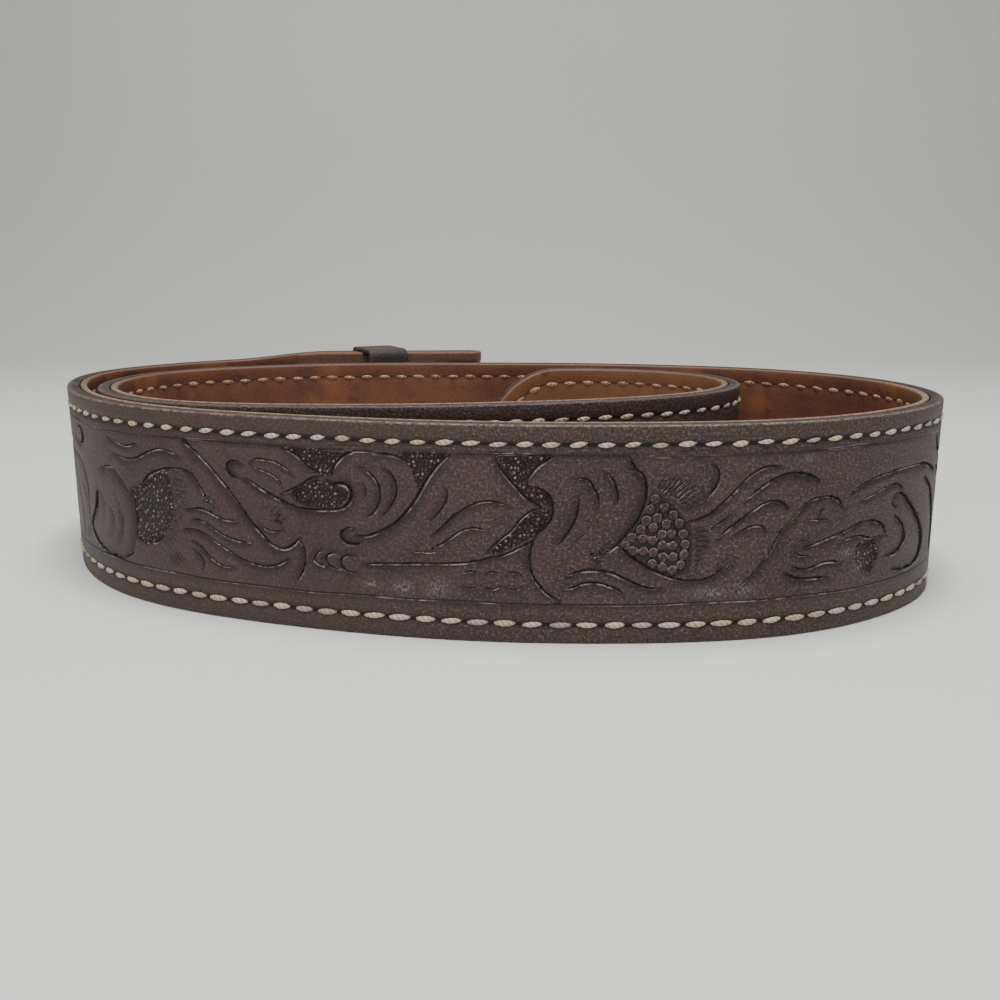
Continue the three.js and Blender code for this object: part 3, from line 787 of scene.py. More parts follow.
def flat_strip(name, outline, stations, caps):
    """A grid wrapped round the outline, ring by ring, as a mesh in millimetres: run, height, out."""
    rings, around = len(stations), len(outline)
    strip = bmesh.new()
    bmesh.ops.create_grid(strip, x_segments=rings - 1, y_segments=around, size=1)
    drawn = np.array(outline)
    for vert in strip.verts:
        ring = round((vert.co.x + 1) / 2 * (rings - 1))
        place = round((vert.co.y + 1) / 2 * around) % around
        vert.co = (stations[ring], *drawn[place])
    bmesh.ops.remove_doubles(strip, verts=strip.verts, dist=0.001)
    for cap, run in (("start", stations[0]), ("end", stations[-1])):
        if cap in caps:
            open_edges = [edge for edge in strip.edges if edge.is_boundary]
            rim = [edge for edge in open_edges if abs(edge.verts[0].co.x - run) < 1e-3]
            bmesh.ops.contextual_create(strip, geom=rim)
    bmesh.ops.recalc_face_normals(strip, faces=strip.faces)
    mesh = bpy.data.meshes.new(name)
    strip.to_mesh(mesh)
    strip.free()
    points = points_of(mesh)
    past = np.clip((points[:, 0] - tip_start) / tip_length, 0, 1)
    half = strap_width / 2
    narrowed = half + (points[:, 1] - half) * np.sqrt(1 - past**2)
    set_points(mesh, np.column_stack([points[:, 0], narrowed, points[:, 2]]))
    return mesh


def points_of(mesh):
    """The points of a mesh as rows."""
    flat = np.empty(len(mesh.vertices) * 3, np.float32)
    mesh.vertices.foreach_get("co", flat)
    return flat.reshape(-1, 3).astype(float)


def set_points(mesh, points):
    """Moves the points of a mesh."""
    mesh.vertices.foreach_set("co", points.astype(np.float32).ravel())
    mesh.update()


def stations_over(*spans):
    """Ring places from (start, end, pitch) spans that follow each other."""
    parts = [np.linspace(a, b, int(math.ceil((b - a) / pitch)), endpoint=False) for a, b, pitch in spans]
    return np.concatenate(parts + [[spans[-1][1]]])


def tip_stations(count):
    """Rings that crowd towards the point of the tip."""
    lean = np.linspace(0, 0.985, count + 1)[1:] * math.pi / 2
    return tip_start + tip_length * np.sin(lean)


# %% [markdown]
# The first belt hole is 92 mm from the tip and the others follow an inch apart. They are punched
# through the flat strips with a Boolean, which is how a punch works and keeps the edges clean.

# %% Punching the belt holes
hole_diameter = 5.0
first_hole = 92.0
hole_pitch = 25.4
hole_runs = [strap_length - first_hole - hole_pitch * i for i in range(5)]
print("belt holes at", [round(run) for run in hole_runs], "mm from the fold")


def punched(mesh):
    """The flat mesh with the belt holes cut through it."""
    punch = bmesh.new()
    for run in hole_runs:
        middle_of_hole = Matrix.Translation((run, strap_width / 2, 0))
        bmesh.ops.create_cone(punch, cap_ends=True, segments=28, radius1=hole_diameter / 2,
                              radius2=hole_diameter / 2, depth=9, matrix=middle_of_hole)
    cutter = bpy.data.objects.new("punch", bpy.data.meshes.new("punch"))
    punch.to_mesh(cutter.data)
    punch.free()
    work = bpy.data.objects.new("work", mesh)
    for piece in (cutter, work):
        scene.collection.objects.link(piece)
    cut = work.modifiers.new("holes", "BOOLEAN")
    cut.operation = "DIFFERENCE"
    cut.solver = "FAST"
    cut.object = cutter
    made = bpy.data.meshes.new_from_object(work.evaluated_get(bpy.context.evaluated_depsgraph_get()))
    for piece in (cutter, work):
        bpy.data.objects.remove(piece)
    return made


# %% [markdown]
# A flat mesh keeps its flat millimetres as a map, so that grain and tooling follow the strap and
# not the coil. The measured fields go with it as attributes, which the finishes read.

# %% From flat work to a piece of the scene


def finished(name, mesh, flat, placed, node, fields):
    """Puts a coiled mesh in the scene with its map in millimetres and its measured fields."""
    set_points(mesh, placed)
    mesh.name = name
    layer = mesh.uv_layers.new(name="marked_out")
    corners = np.empty(len(mesh.loops), np.int32)
    mesh.loops.foreach_get("vertex_index", corners)
    layer.data.foreach_set("uv", flat[corners, :2].astype(np.float32).ravel())
    for key, values in fields.items():
        mesh.attributes.new(key, "FLOAT", "POINT").data.foreach_set("value", values.astype(np.float32))
    mesh.shade_smooth()
    piece = bpy.data.objects.new(name, mesh)
    scene.collection.objects.link(piece)
    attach(piece, "root")
    if node:
        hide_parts(node)
    triangles = sum(len(face.vertices) - 2 for face in mesh.polygons)
    print(name, "has", triangles, "triangles")
    return piece


# %% [markdown]
# The tooled strip. The part of it that shows, outside, is one long piece with fine rings where the
# light falls on the carving. The inner turn is a second piece: it starts where the two turns lie
# against each other, so the join is hidden. Both could be sculpted, but here the chart moves the
# points: bevelled beside the cuts, sunk where the ground is stamped, grooved under the stitches.

# %% The tooled strip
carve_depth = 0.62
ground_depth = 0.45
seed_rise = 0.24
groove_depth = 0.32
inner_turn_from = 472.0
outer_gaps = stitch_gaps(outer_stitches)


def tooled_strip(name, stations, front_cells, back_cells, caps, holes):
    """One length of the tooled strip, carved flat and then coiled."""
    outline = strip_outline(tooling_thickness, front_cells, back_cells, 0.42, 0.25)
    mesh = flat_strip(name, outline, stations, caps)
    if holes:
        mesh = punched(mesh)
    flat = points_of(mesh)
    run, height, out = flat.T
    fields = cut_field(run, height)
    fields.update(ground_field(run, height))
    fields.update(sewing_field(run, height, outer_gaps))
    fields["scuff"] = np.zeros(len(run))
    for x, y, wide, tall in scuffs:
        spot = np.exp(-(((run - x) / wide) ** 2) - ((height - y) / tall) ** 2)
        fields["scuff"] = np.maximum(fields["scuff"], spot)
    fields["plain"] = 1 - soft_step(-1, 1, run)
    face = soft_step(0.35, 1.1, out)
    relief = carve_depth * fields.pop("relief")
    relief -= ground_depth * soft_step(-0.1, 0.45, np.maximum(fields["pebbled"] + 0.3, fields["seeded"]))
    relief += seed_rise * soft_step(1.1, 0.7, fields["seed"]) * soft_step(0.0, 0.3, fields["seeded"])
    relief -= groove(fields, groove_depth)
    waver = 0.10 * np.sin(run / 17 + height / 6) + 0.06 * np.sin(run / 7.3 - height / 4)
    fields["rim"] = cut_edges(height, 0.4)
    fields["face"] = face
    placed = coiled(run, height, out + face * relief + 0.3 * waver * face)
    return finished(name, mesh, flat, placed, "strap", fields)


flap_start = -(flap_length + fold_run)
strap = tooled_strip(
    "tooled_strap",
    stations_over((flap_start, -fold_run, 1.8), (-fold_run, 0, 0.6), (0, 118, 1.0), (118, 342, 0.42),
                  (342, inner_turn_from, 1.0)),
    front_cells=88, back_cells=5, caps=("start",), holes=False,
)
strap_inner_turn = tooled_strip(
    "tooled_strap_inner_turn",
    np.concatenate([stations_over((inner_turn_from, tip_start, 1.3)), tip_stations(26)]),
    front_cells=56, back_cells=5, caps=("end",), holes=True,
)

# %% [markdown]
# The lining is plain leather, smooth side towards the inside of the coil. It is sewn through the
# same holes, so it has its own row of pricks.

# %% The lining
inner_gaps = stitch_gaps(inner_stitches)
lining_groove = 0.22
lining_outline = strip_outline(lining_thickness, 40, 4, 0.4, 0.15)
lining_body = stations_over((layer_gap, 120, 1.4), (120, tip_start, 1.3))
lining_stations = np.concatenate([lining_body, tip_stations(26)])
lining_mesh = punched(flat_strip("lining", lining_outline, lining_stations, ("start", "end")))
lining_flat = points_of(lining_mesh)
run, height, out = lining_flat.T
lining_fields = sewing_field(run, height, inner_gaps)
lining_fields["sewn"][run < 47] = far
face = soft_step(0.1, 0.6, out)
relief = -groove(lining_fields, lining_groove)
lining_fields["rim"] = cut_edges(height, 0.5)
lining_fields["face"] = face
placed = coiled(run, height, -(out + face * relief), lining_offset)
lining_mesh.flip_normals()
lining = finished("sewn_lining", lining_mesh, lining_flat, placed, "lining",
                  lining_fields)

# %% [markdown]
# A machine stitch seen from above is a short, plump length of waxed thread with its ends pulled
# down into the leather. It could be a bevelled curve, but hundreds of curves are slow. A small ball
# is drawn out to the shape once, and arrays copy it along the sewing line, each copy a little
# longer, fatter or more turned than the next, and bend it into the coil with the strap.

# %% Stitches
rng = np.random.default_rng(7)
stitch_rise = 0.42
stitch_sink = 0.45


def stitch_shape(length, width, pointed):
    """Points and faces of one stitch along x: its ends narrow and sink, its middle is round."""
    ball = bmesh.new()
    bmesh.ops.create_uvsphere(ball, u_segments=8, v_segments=8, radius=0.5,
                              matrix=Matrix.Rotation(math.pi / 2, 4, "Y"))
    for vert in ball.verts:
        x, y, z = vert.co
        full = math.cos(math.pi * x * 0.98) ** pointed
        girth = max(math.hypot(y, z), 1e-6)
        rise = stitch_rise * (0.25 + 0.75 * full) * (0.9 if z > 0 else 0.5)
        vert.co = (x * length, width / 2 * full * y / girth, rise * z / girth - stitch_sink * (1 - full))
    mesh = bpy.data.meshes.new("one_stitch")
    ball.to_mesh(mesh)
    ball.free()
    return points_of(mesh), [tuple(face.vertices) for face in mesh.polygons]


def sewn_rows(name, places, seat, lean, inward):
    """All the stitches of one face as one mesh."""
    shapes = [stitch_shape(*row[2:]) for row in stitch_rows]
    flat, faces, tint, twist = [], [], [], []
    for index, (x, y, turn, row) in enumerate(places):
        stretch = rng.uniform(0.9, 1.06)
        fatten = rng.uniform(0.92, 1.08) if row == 0 else rng.uniform(0.78, 1.12)
        angle = turn + lean[row] + rng.normal(0, 0.035)
        base, base_faces = shapes[row]
        local = base * (stretch, fatten, 1.0)
        cos, sin = math.cos(angle), math.sin(angle)
        run = x + rng.normal(0, 0.06) + local[:, 0] * cos - local[:, 1] * sin
        height = y + rng.normal(0, 0.05) + local[:, 0] * sin + local[:, 1] * cos
        flat.append(np.column_stack([run, height, seat + local[:, 2]]))
        faces += [tuple(v + index * len(base) for v in face) for face in base_faces]
        tint.append(np.full(len(base), rng.random()))
        twist.append(local[:, 0] * 2.6 + local[:, 1] * 2.2)
    flat = np.vstack(flat)
    sign = -1 if inward else 1
    offset = lining_offset if inward else tooling_offset
    placed = coiled(flat[:, 0], flat[:, 1], sign * flat[:, 2], offset)
    mesh = bpy.data.meshes.new(name)
    mesh.from_pydata([tuple(p) for p in placed], [], faces)
    solid = bmesh.new()
    solid.from_mesh(mesh)
    bmesh.ops.recalc_face_normals(solid, faces=solid.faces)
    solid.to_mesh(mesh)
    solid.free()
    fields = {"tint": np.concatenate(tint), "twist": np.concatenate(twist)}
    return finished(name, mesh, flat, placed, None, fields)


stitches_outside = sewn_rows("stitches_outside", outer_stitches, tooling_thickness / 2 - 0.12,
                             lean=(0.03, 0.10, 0.05), inward=False)
stitches_inside = sewn_rows("stitches_inside", inner_stitches, lining_thickness / 2 - 0.08,
                            lean=(0.04, 0.05, 0.05), inward=True)

# %% [markdown]
# The keeper is a loop of the same dark leather that holds the folded end. A bevelled curve would do,
# but its rims would be hard to soften. So a circle of points is pushed out to a rounded rectangle,
# pulled up into a band, thickened and bevelled at its rims.

# %% The keeper
folded_room = folded_thickness / math.cos(keeper_turn) + keeper_width * math.tan(keeper_turn)
keeper_room = folded_room + 2 * keeper_clearance
keeper_height = strap_width + 2 * keeper_clearance + 2 * keeper_wall


def rounded_loop(width, height, radius, count):
    """Evenly spaced points round a rounded rectangle."""
    x, y = width / 2 - radius, height / 2 - radius
    corners = ((x, -y, -90), (x, y, 0), (-x, y, 90), (-x, -y, 180))
    points = []
    for cx, cy, start in corners:
        for i in range(9):
            a = math.radians(start + 90 * i / 8)
            points.append((cx + radius * math.cos(a), cy + radius * math.sin(a)))
    points.append(points[0])
    return even_steps(np.array(points), run_along(np.array(points))[-1] / count)[:count]


loop = rounded_loop(keeper_room + keeper_wall, keeper_height - keeper_wall, 1.75, 144)
band = bmesh.new()
bmesh.ops.create_circle(band, cap_ends=False, segments=144, radius=1)
for vert, (x, y) in zip(band.verts, loop):
    vert.co = Vector((x, y, -keeper_width / 2))
edges = list(band.edges)
for _ in range(6):
    grown = bmesh.ops.extrude_edge_only(band, edges=edges)["geom"]
    edges = [piece for piece in grown if isinstance(piece, bmesh.types.BMEdge)]
    rise = [piece for piece in grown if isinstance(piece, bmesh.types.BMVert)]
    bmesh.ops.translate(band, verts=rise, vec=(0, 0, keeper_width / 6))
bmesh.ops.recalc_face_normals(band, faces=band.faces)
bmesh.ops.solidify(band, geom=band.faces, thickness=keeper_wall)
bmesh.ops.recalc_face_normals(band, faces=band.faces)
sharp = [edge for edge in band.edges if len(edge.link_faces) == 2 and edge.calc_face_angle() > 0.9]
bmesh.ops.bevel(band, geom=sharp, offset=0.35, offset_type="OFFSET", affect="EDGES", segments=3,
                profile=0.5, material=-1)
keeper_mesh = bpy.data.meshes.new("keeper")
band.to_mesh(keeper_mesh)
band.free()
keeper_flat = points_of(keeper_mesh)
point, ahead, outward = line_at(np.array([keeper_from_fold]))
centre = point[0] + outward[0] * (body_thickness - folded_thickness) / 2
angle = math.atan2(outward[0][1], outward[0][0]) + keeper_turn
side = np.array([math.cos(angle), math.sin(angle)])
across = np.array([math.sin(angle), -math.cos(angle)])
plan = centre + keeper_flat[:, :1] * side + keeper_flat[:, 2:] * across
keeper_placed = np.column_stack([plan, keeper_flat[:, 1] + keeper_height / 2]) * MM
keeper_map = np.column_stack([keeper_flat[:, 2], keeper_flat[:, 1]])
beside, up, along = np.abs(keeper_flat).T
walls = np.maximum(beside - keeper_room / 2, up + keeper_wall - keeper_height / 2)
keeper_fields = {"rim": soft_step(keeper_width / 2 - 0.8, keeper_width / 2 - 0.1, along),
                 "inner": soft_step(0.5, 0.1, walls)}
keeper = finished("keeper_loop", keeper_mesh, keeper_map, keeper_placed, "keeper",
                  keeper_fields)

# %% [markdown]
# Two screw studs hold the fold where the buckle was. A stud's head is a low dome. It could be a
# flattened ball, but a half profile that is drawn once and spun also gives the post and the rims.

# %% The studs
stud_head = 9.0
stud_post = 4.0
stud_rise = 1.2


def stud_mesh(name):
    """Both heads and the post, spun round their own axis, which points along z."""
    inner = body_thickness / 2 - folded_thickness - layer_gap
    outer = body_thickness / 2 + layer_gap
    profile = []
    for i in range(0, 9):
        a = math.pi / 2 * i / 8
        profile.append((stud_head / 2 * math.sin(a), inner - 0.3 - (stud_rise - 0.3) * math.cos(a)))
    profile += [(stud_head / 2, inner - 0.05), (stud_head / 2 - 0.15, inner), (stud_post / 2, inner),
                (stud_post / 2, outer), (stud_head / 2 - 0.15, outer), (stud_head / 2, outer + 0.05)]
    for i in range(8, -1, -1):
        a = math.pi / 2 * i / 8
        profile.append((stud_head / 2 * math.sin(a), outer + 0.3 + (stud_rise - 0.3) * math.cos(a)))
    turned = bmesh.new()
    verts = [turned.verts.new((radius, 0, up)) for radius, up in profile]
    edges = [turned.edges.new(pair) for pair in zip(verts, verts[1:])]
    bmesh.ops.spin(turned, geom=verts + edges, cent=(0, 0, 0), axis=(0, 0, 1), angle=2 * math.pi,
                   steps=40, use_merge=True)
    bmesh.ops.remove_doubles(turned, verts=turned.verts, dist=0.001)
    bmesh.ops.recalc_face_normals(turned, faces=turned.faces)
    mesh = bpy.data.meshes.new(name)
    turned.to_mesh(mesh)
    turned.free()
    return mesh


studs = []
for name, stud_run in (("stud_near_fold", 9.5), ("stud_near_flap_end", 36.5)):
    mesh = stud_mesh(name + "_dressed")
    local = points_of(mesh)
    point, ahead, outward = line_at(np.array([stud_run]))
    seat_height = strap_width / 2 + float(lift_at(np.array([stud_run]))[0])
    plan = point[0] + local[:, :1] * ahead[0] + local[:, 2:] * outward[0]
    placed = np.column_stack([plan, seat_height + local[:, 1]]) * MM
    studs.append(finished(name + "_dressed", mesh, local, placed, name, {}))

# %% [markdown]
# Finishes are written as sums. A small class wraps a shader socket so that masks can be added,
# multiplied and subtracted as in ordinary maths, and another one adds the other nodes.

# %% Shader maths


class Value:
    """A number in a shader, which can be used in a sum."""

    def __init__(self, tree, socket):
        self.tree = tree
        self.socket = socket

    def made(self, operation, *items):
        node = self.tree.nodes.new("ShaderNodeMath")
        node.operation = operation
        for slot, item in zip(node.inputs, items):
            if isinstance(item, Value):
                self.tree.links.new(item.socket, slot)
            else:
                slot.default_value = item
        return Value(self.tree, node.outputs[0])

    def __add__(self, other):
        return self.made("ADD", self, other)

    def __radd__(self, other):
        return self.made("ADD", other, self)

    def __sub__(self, other):
        return self.made("SUBTRACT", self, other)

    def __rsub__(self, other):
        return self.made("SUBTRACT", other, self)

    def __mul__(self, other):
        return self.made("MULTIPLY", self, other)

    def __rmul__(self, other):
        return self.made("MULTIPLY", other, self)

    def size(self):
        return self.made("ABSOLUTE", self)

    def sine(self):
        return self.made("SINE", self)

    def most(self, other):
        return self.made("MAXIMUM", self, other)

    def step(self, low, high):
        """A smooth step from 0 at low to 1 at high; low may be the larger."""
        node = self.tree.nodes.new("ShaderNodeMapRange")
        node.interpolation_type = "SMOOTHSTEP"
        ends = ((low, 0.0), (high, 1.0)) if low < high else ((high, 1.0), (low, 0.0))
        self.tree.links.new(self.socket, node.inputs["Value"])
        node.inputs["From Min"].default_value = ends[0][0]
        node.inputs["From Max"].default_value = ends[1][0]
        node.inputs["To Min"].default_value = ends[0][1]
        node.inputs["To Max"].default_value = ends[1][1]
        return Value(self.tree, node.outputs["Result"])


print("a shader value can be:", [name for name in vars(Value) if name[0] != "_"])

# %% [markdown]
# A finish is one material being written. Node trees could be drawn by hand in the editor; written
# as short methods they can be read from top to bottom, in the order in which the leather is dyed.

# %% A finish


def linear(red, green, blue):
    """A colour given on the 0 to 255 scale, as the shader wants it."""
    parts = [c / 255 for c in (red, green, blue)]
    return tuple(c / 12.92 if c <= 0.04045 else ((c + 0.055) / 1.055) ** 2.4 for c in parts) + (1.0,)


class Finish:
    """One material being written."""

    def __init__(self, name):
        self.material = bpy.data.materials.new(name)
        self.material.use_nodes = True
        self.tree = self.material.node_tree
        self.shader = self.tree.nodes["Principled BSDF"]

    def node(self, kind, settings=(), **inputs):
        """Adds a node, sets it up, and joins or fills its inputs."""
        made = self.tree.nodes.new(kind)
        for key, value in dict(settings).items():
            setattr(made, key, value)
        for key, value in inputs.items():
            self.fill(made.inputs[key.replace("_", " ")], value)
        return made

    def fill(self, slot, value):
        if isinstance(value, Value):
            value = value.socket
        if isinstance(value, bpy.types.NodeSocket):
            self.tree.links.new(value, slot)
        else:
            slot.default_value = value

    def field(self, name):
        """A number measured at each point of the mesh."""
        made = self.node("ShaderNodeAttribute", {"attribute_name": name})
        return Value(self.tree, made.outputs["Fac"])

    def map(self):
        """The flat strap's millimetres: run and height."""
        return self.node("ShaderNodeUVMap", {"uv_map": "marked_out"}).outputs["UV"]

    def object_mm(self):
        """The object's own coordinates in millimetres."""
        place = self.node("ShaderNodeTexCoord").outputs["Object"]
        made = self.node("ShaderNodeVectorMath", {"operation": "SCALE"}, Vector=place, Scale=1 / MM)
        return made.outputs[0]

    def along(self, place, axis):
        """One coordinate of a place."""
        return Value(self.tree, self.node("ShaderNodeSeparateXYZ", Vector=place).outputs[axis])

    def stretched(self, place, x, y, z=1.0):
        """Coordinates scaled differently along each axis."""
        made = self.node("ShaderNodeVectorMath", {"operation": "MULTIPLY"})
        self.tree.links.new(place, made.inputs[0])
        made.inputs[1].default_value = (x, y, z)
        return made.outputs[0]

    def noise(self, place, scale, detail=3.0, roughness=0.55, distortion=0.0):
        made = self.node("ShaderNodeTexNoise", Vector=place, Scale=scale, Detail=detail,
                         Roughness=roughness, Distortion=distortion)
        return Value(self.tree, made.outputs["Fac"])

    def cells(self, place, scale, feature="F1", randomness=1.0):
        made = self.node("ShaderNodeTexVoronoi", {"feature": feature}, Vector=place, Scale=scale,
                         Randomness=randomness)
        return Value(self.tree, made.outputs["Distance"])

    def mix(self, share, first, second):
        """One colour laid over another by a share from 0 to 1."""
        made = self.tree.nodes.new("ShaderNodeMix")
        made.data_type = "RGBA"
        self.fill(made.inputs[0], share)
        self.fill(made.inputs[6], first)
        self.fill(made.inputs[7], second)
        return made.outputs[2]

    def dye(self, share, first, second):
        """Starts the colour of the finish with two shades, one over the other."""
        self.colour = self.mix(share, linear(*first), linear(*second))

    def lay(self, share, over):
        """Lays a shade, or a colour made before, over the colour so far."""
        self.colour = self.mix(share, self.colour, linear(*over) if isinstance(over, tuple) else over)

    def relief(self, height_mm, distance=0.001):
        """A bump whose height is written in millimetres."""
        made = self.node("ShaderNodeBump", Height=height_mm, Distance=distance, Strength=1.0)
        self.tree.links.new(made.outputs["Normal"], self.shader.inputs["Normal"])

    def set(self, **values):
        for key, value in values.items():
            self.fill(self.shader.inputs[key.replace("_", " ")], value)

    def cover(self, *pieces):
        """Gives the pieces this finish and no other."""
        for piece in pieces:
            piece.data.materials.clear()
            piece.data.materials.append(self.material)
        print(self.material.name, "has", len(self.tree.nodes), "nodes on", len(pieces), "pieces")


# %% [markdown]
# The tooled leather is a dark, dyed and waxed brown. Its wax has dulled to a grey bloom in places,
# fine light flecks sit in the pores, the cuts hold old dye and dirt, and pale dried polish with a
# painted highlight lies on their upper walls. The pressed areas are painted darker as shade, and the
# rim has rubbed through to a lighter tan, which is partly a painted highlight on the front of the coil.

# %% Tooled leather: dye and wax
leather = Finish("tooled_leather")
place = leather.map()
body_place = leather.object_mm()
run, level = leather.along(place, "X"), leather.along(place, "Y")
front = leather.along(body_place, "Y").step(10, -25)
patch = leather.noise(place, 0.045, 3.0)
blotch = leather.noise(place, 0.22, 4.0, 0.6)
speck = leather.noise(place, 1.9, 4.0, 0.75)
fine = leather.noise(place, 4.2, 3.0, 0.7)
leather.dye(patch.step(0.35, 0.68), (60, 43, 43), (71, 54, 52))
leather.lay(blotch.step(0.42, 0.72) * 0.55, (80, 56, 44))
leather.lay(blotch.step(0.5, 0.25) * 0.55, (40, 27, 28))
bands = level.step(33.3, 34.2) + level.step(6.8, 6.0)
leather.lay(bands * 0.5, (70, 54, 44))
leather.lay(leather.field("plain") * 0.9, (110, 72, 52))
coarse = 0.5 + 0.5 * run.step(200, 245)
light_fleck = speck.step(0.5, 0.63) * fine.step(0.44, 0.6) * coarse
dark_fleck = speck.step(0.51, 0.39) * fine.step(0.58, 0.44) * coarse
leather.lay(light_fleck * 0.8, (142, 125, 119))
leather.lay(dark_fleck * 0.9, (20, 13, 13))

# %% [markdown]
# The tooling is coloured from the measured fields: dirt lies in the cuts, the pricks are painted
# dark as the shade in their holes, painted shadow lies on the bevelled side, each pebble and seed is
# ringed in black and given a painted highlight, and dried polish with a painted highlight lines the
# lower lips. Fields are used, not an image, so the lines stay sharp at any size.

# %% Tooled leather: cuts, grounds and seeds
face = leather.field("face")
cut = leather.field("cut")
reach = leather.field("reach")
upper = leather.field("upper")
knife = cut.size().step(0.17, 0.05) * reach.step(0.46, 0.32)
shade = cut.step(0.1, -0.1) * reach.step(2.0, 0.2)
ground = leather.field("pebbled").step(-0.35, -0.15)
seeded = leather.field("seeded").step(-0.15, 0.1)
pebble_edge = leather.cells(place, 1.28, "DISTANCE_TO_EDGE", 0.8)
pebble = leather.cells(place, 1.28, "F1", 0.8)
seed = leather.field("seed")
ring = (seed - seed_radius).size().step(0.13, 0.05) * seeded
gap = leather.field("gap")
across = leather.field("sewn")
prick = (gap * gap + 12.0 * across * across).step(1.4, 0.9)
sewn = across.size().step(0.95, 0.5)
rim = leather.field("rim")
# Dried polish below each cut, and with it a painted highlight where the lower lip faces the light.
polish_and_highlight = upper.step(-0.2, -0.7) * (reach - 0.29).size().step(0.14, 0.04)
patchy = leather.noise(place, 0.12, 2.0).step(0.42, 0.58)
patchy = patchy * leather.noise(place, 0.6, 3.0, 0.7).step(0.36, 0.6)
polish_and_highlight = polish_and_highlight * patchy * face
shiny = leather.noise(place, 2.6, 2.0, 0.6)
leather.lay(shade * (0.55 - 0.4 * ground) * face, (32, 21, 22))
leather.lay(ground * pebble_edge.step(0.13, 0.05) * 0.8, (16, 11, 12))
# A painted highlight on the middle of each raised pebble.
leather.lay(ground * pebble.step(0.4, 0.14) * shiny.step(0.25, 0.5) * 0.8, (160, 143, 139))
leather.lay(seeded * seed.step(0.92, 1.0) * 0.65, (20, 14, 14))
# A painted highlight on the upper side of each raised seed.
lit = (seed - 0.73).size().step(0.12, 0.03) * leather.field("seed_side").step(-0.3, 0.7)
leather.lay(seeded * lit * shiny.step(0.36, 0.52) * 0.65, (158, 145, 138))
leather.lay(ring * 0.92, (12, 8, 8))
leather.lay(knife * 0.95 * face, (12, 8, 8))
# Pale polish with a painted highlight on the lower lips of the cuts.
leather.lay(polish_and_highlight * 0.72, (188, 176, 168))
scratches = leather.noise(leather.stretched(place, 3.0, 1.2), 1.2, 3.0, 0.7)
leather.lay(leather.field("scuff") * scratches.step(0.44, 0.64) * 0.6, (160, 152, 148))
leather.lay(sewn * 0.35 * face, (36, 26, 23))
# The pricks are painted nearly black as the shade in the awl holes between the stitches.
leather.lay(prick * 0.97 * face, (9, 6, 6))

# %% [markdown]
# A strap's cut edge is raw leather that has been burnished dark. Only its front corner, where hands
# and cloth rub it, has worn pale. That pale line is also a painted highlight: it is full on the front
# of the outer turn, where the lamps fall, and faint elsewhere.

# %% Tooled leather: worn edges and relief
worn = leather.noise(body_place, 0.35, 4.0, 0.7)
edge_colour = leather.mix(worn.step(0.4, 0.66), linear(40, 34, 30), linear(66, 57, 50))
fibres = leather.noise(body_place, 2.5, 3.0).step(0.5, 0.7)
edge_colour = leather.mix(fibres * 0.5, edge_colour, linear(30, 25, 22))
edge_colour = leather.mix(leather.field("plain"), edge_colour, linear(92, 64, 49))
leather.lay((1 - face) * 0.9, edge_colour)
jagged = leather.noise(body_place, 1.1, 4.0, 0.75).step(0.42, 0.6)
# The rubbed corner is partly real wear and partly a painted highlight, strongest on the lit front of the
# outer turn.
rub_and_highlight = rim.step(0.3, 0.9) * face.step(0.7, 1.0) * jagged * (1 - leather.field("plain"))
rub_and_highlight = rub_and_highlight * (0.2 + 0.8 * front * run.step(352, 345))
leather.lay(rub_and_highlight * 0.6, (144, 132, 121))
grain = leather.cells(place, 1.5, "DISTANCE_TO_EDGE").step(0.0, 0.12)
height = 0.04 * grain * (1 - ground) + 0.12 * speck + 0.08 * fine
height = height - 0.5 * knife * face
height = height + (0.36 * seed.step(0.95, 0.76) - 0.14 * seed.step(0.5, 0.2)) * seeded
height = height + 0.4 * ground * pebble_edge.step(0.0, 0.26) - 0.4 * prick * face
height = height + 0.12 * leather.noise(place, 0.35, 2.0)
leather.relief(height)
dull = (0.38 + 0.22 * blotch + 0.25 * knife).most((1 - face) * 0.95)
leather.set(Base_Color=leather.colour, Roughness=dull, IOR=1.42)
leather.cover(strap, strap_inner_turn)

# %% [markdown]
# The lining is a warmer, smoother brown that shows handling: darker where it has taken up oil,
# paler on its raw edges, with fine creases across the bend and a few stains. Its pricks are painted
# dark as shade, and the pale worn line on its front edges is partly a painted highlight.

# %% Lining leather
inside = Finish("lining_leather")
place = inside.map()
body_place = inside.object_mm()
run = inside.along(place, "X")
front = inside.along(body_place, "Y").step(10, -25)
patch = inside.noise(place, 0.05, 3.0)
blotch = inside.noise(inside.stretched(place, 0.5, 1.0), 0.35, 4.0, 0.6)
speck = inside.noise(place, 2.2, 3.0, 0.7)
creases = inside.noise(inside.stretched(place, 1.0, 0.16), 0.8, 4.0, 0.65, 0.4)
inside.dye(patch.step(0.32, 0.7), (88, 48, 33), (112, 66, 42))
inside.lay(blotch.step(0.5, 0.75) * 0.6, (66, 35, 27))
inside.lay(inside.noise(place, 0.07, 2.0).step(0.52, 0.68) * 0.55, (140, 86, 48))
inside.lay(run.step(strap_length - 150, strap_length - 120) * 0.5, (126, 86, 48))
inside.lay(speck.step(0.5, 0.7) * 0.4, (142, 98, 66))
inside.lay(speck.step(0.47, 0.32) * 0.4, (58, 36, 29))
stain = inside.noise(place, 0.09, 2.0, 0.5).step(0.66, 0.72)
inside.lay(stain * 0.6, (52, 36, 30))
face = inside.field("face")
gap = inside.field("gap")
across = inside.field("sewn")
prick = (gap * gap + 12.0 * across * across).step(1.2, 0.6)
inside.lay(across.size().step(0.95, 0.5) * 0.25 * face, (72, 46, 34))
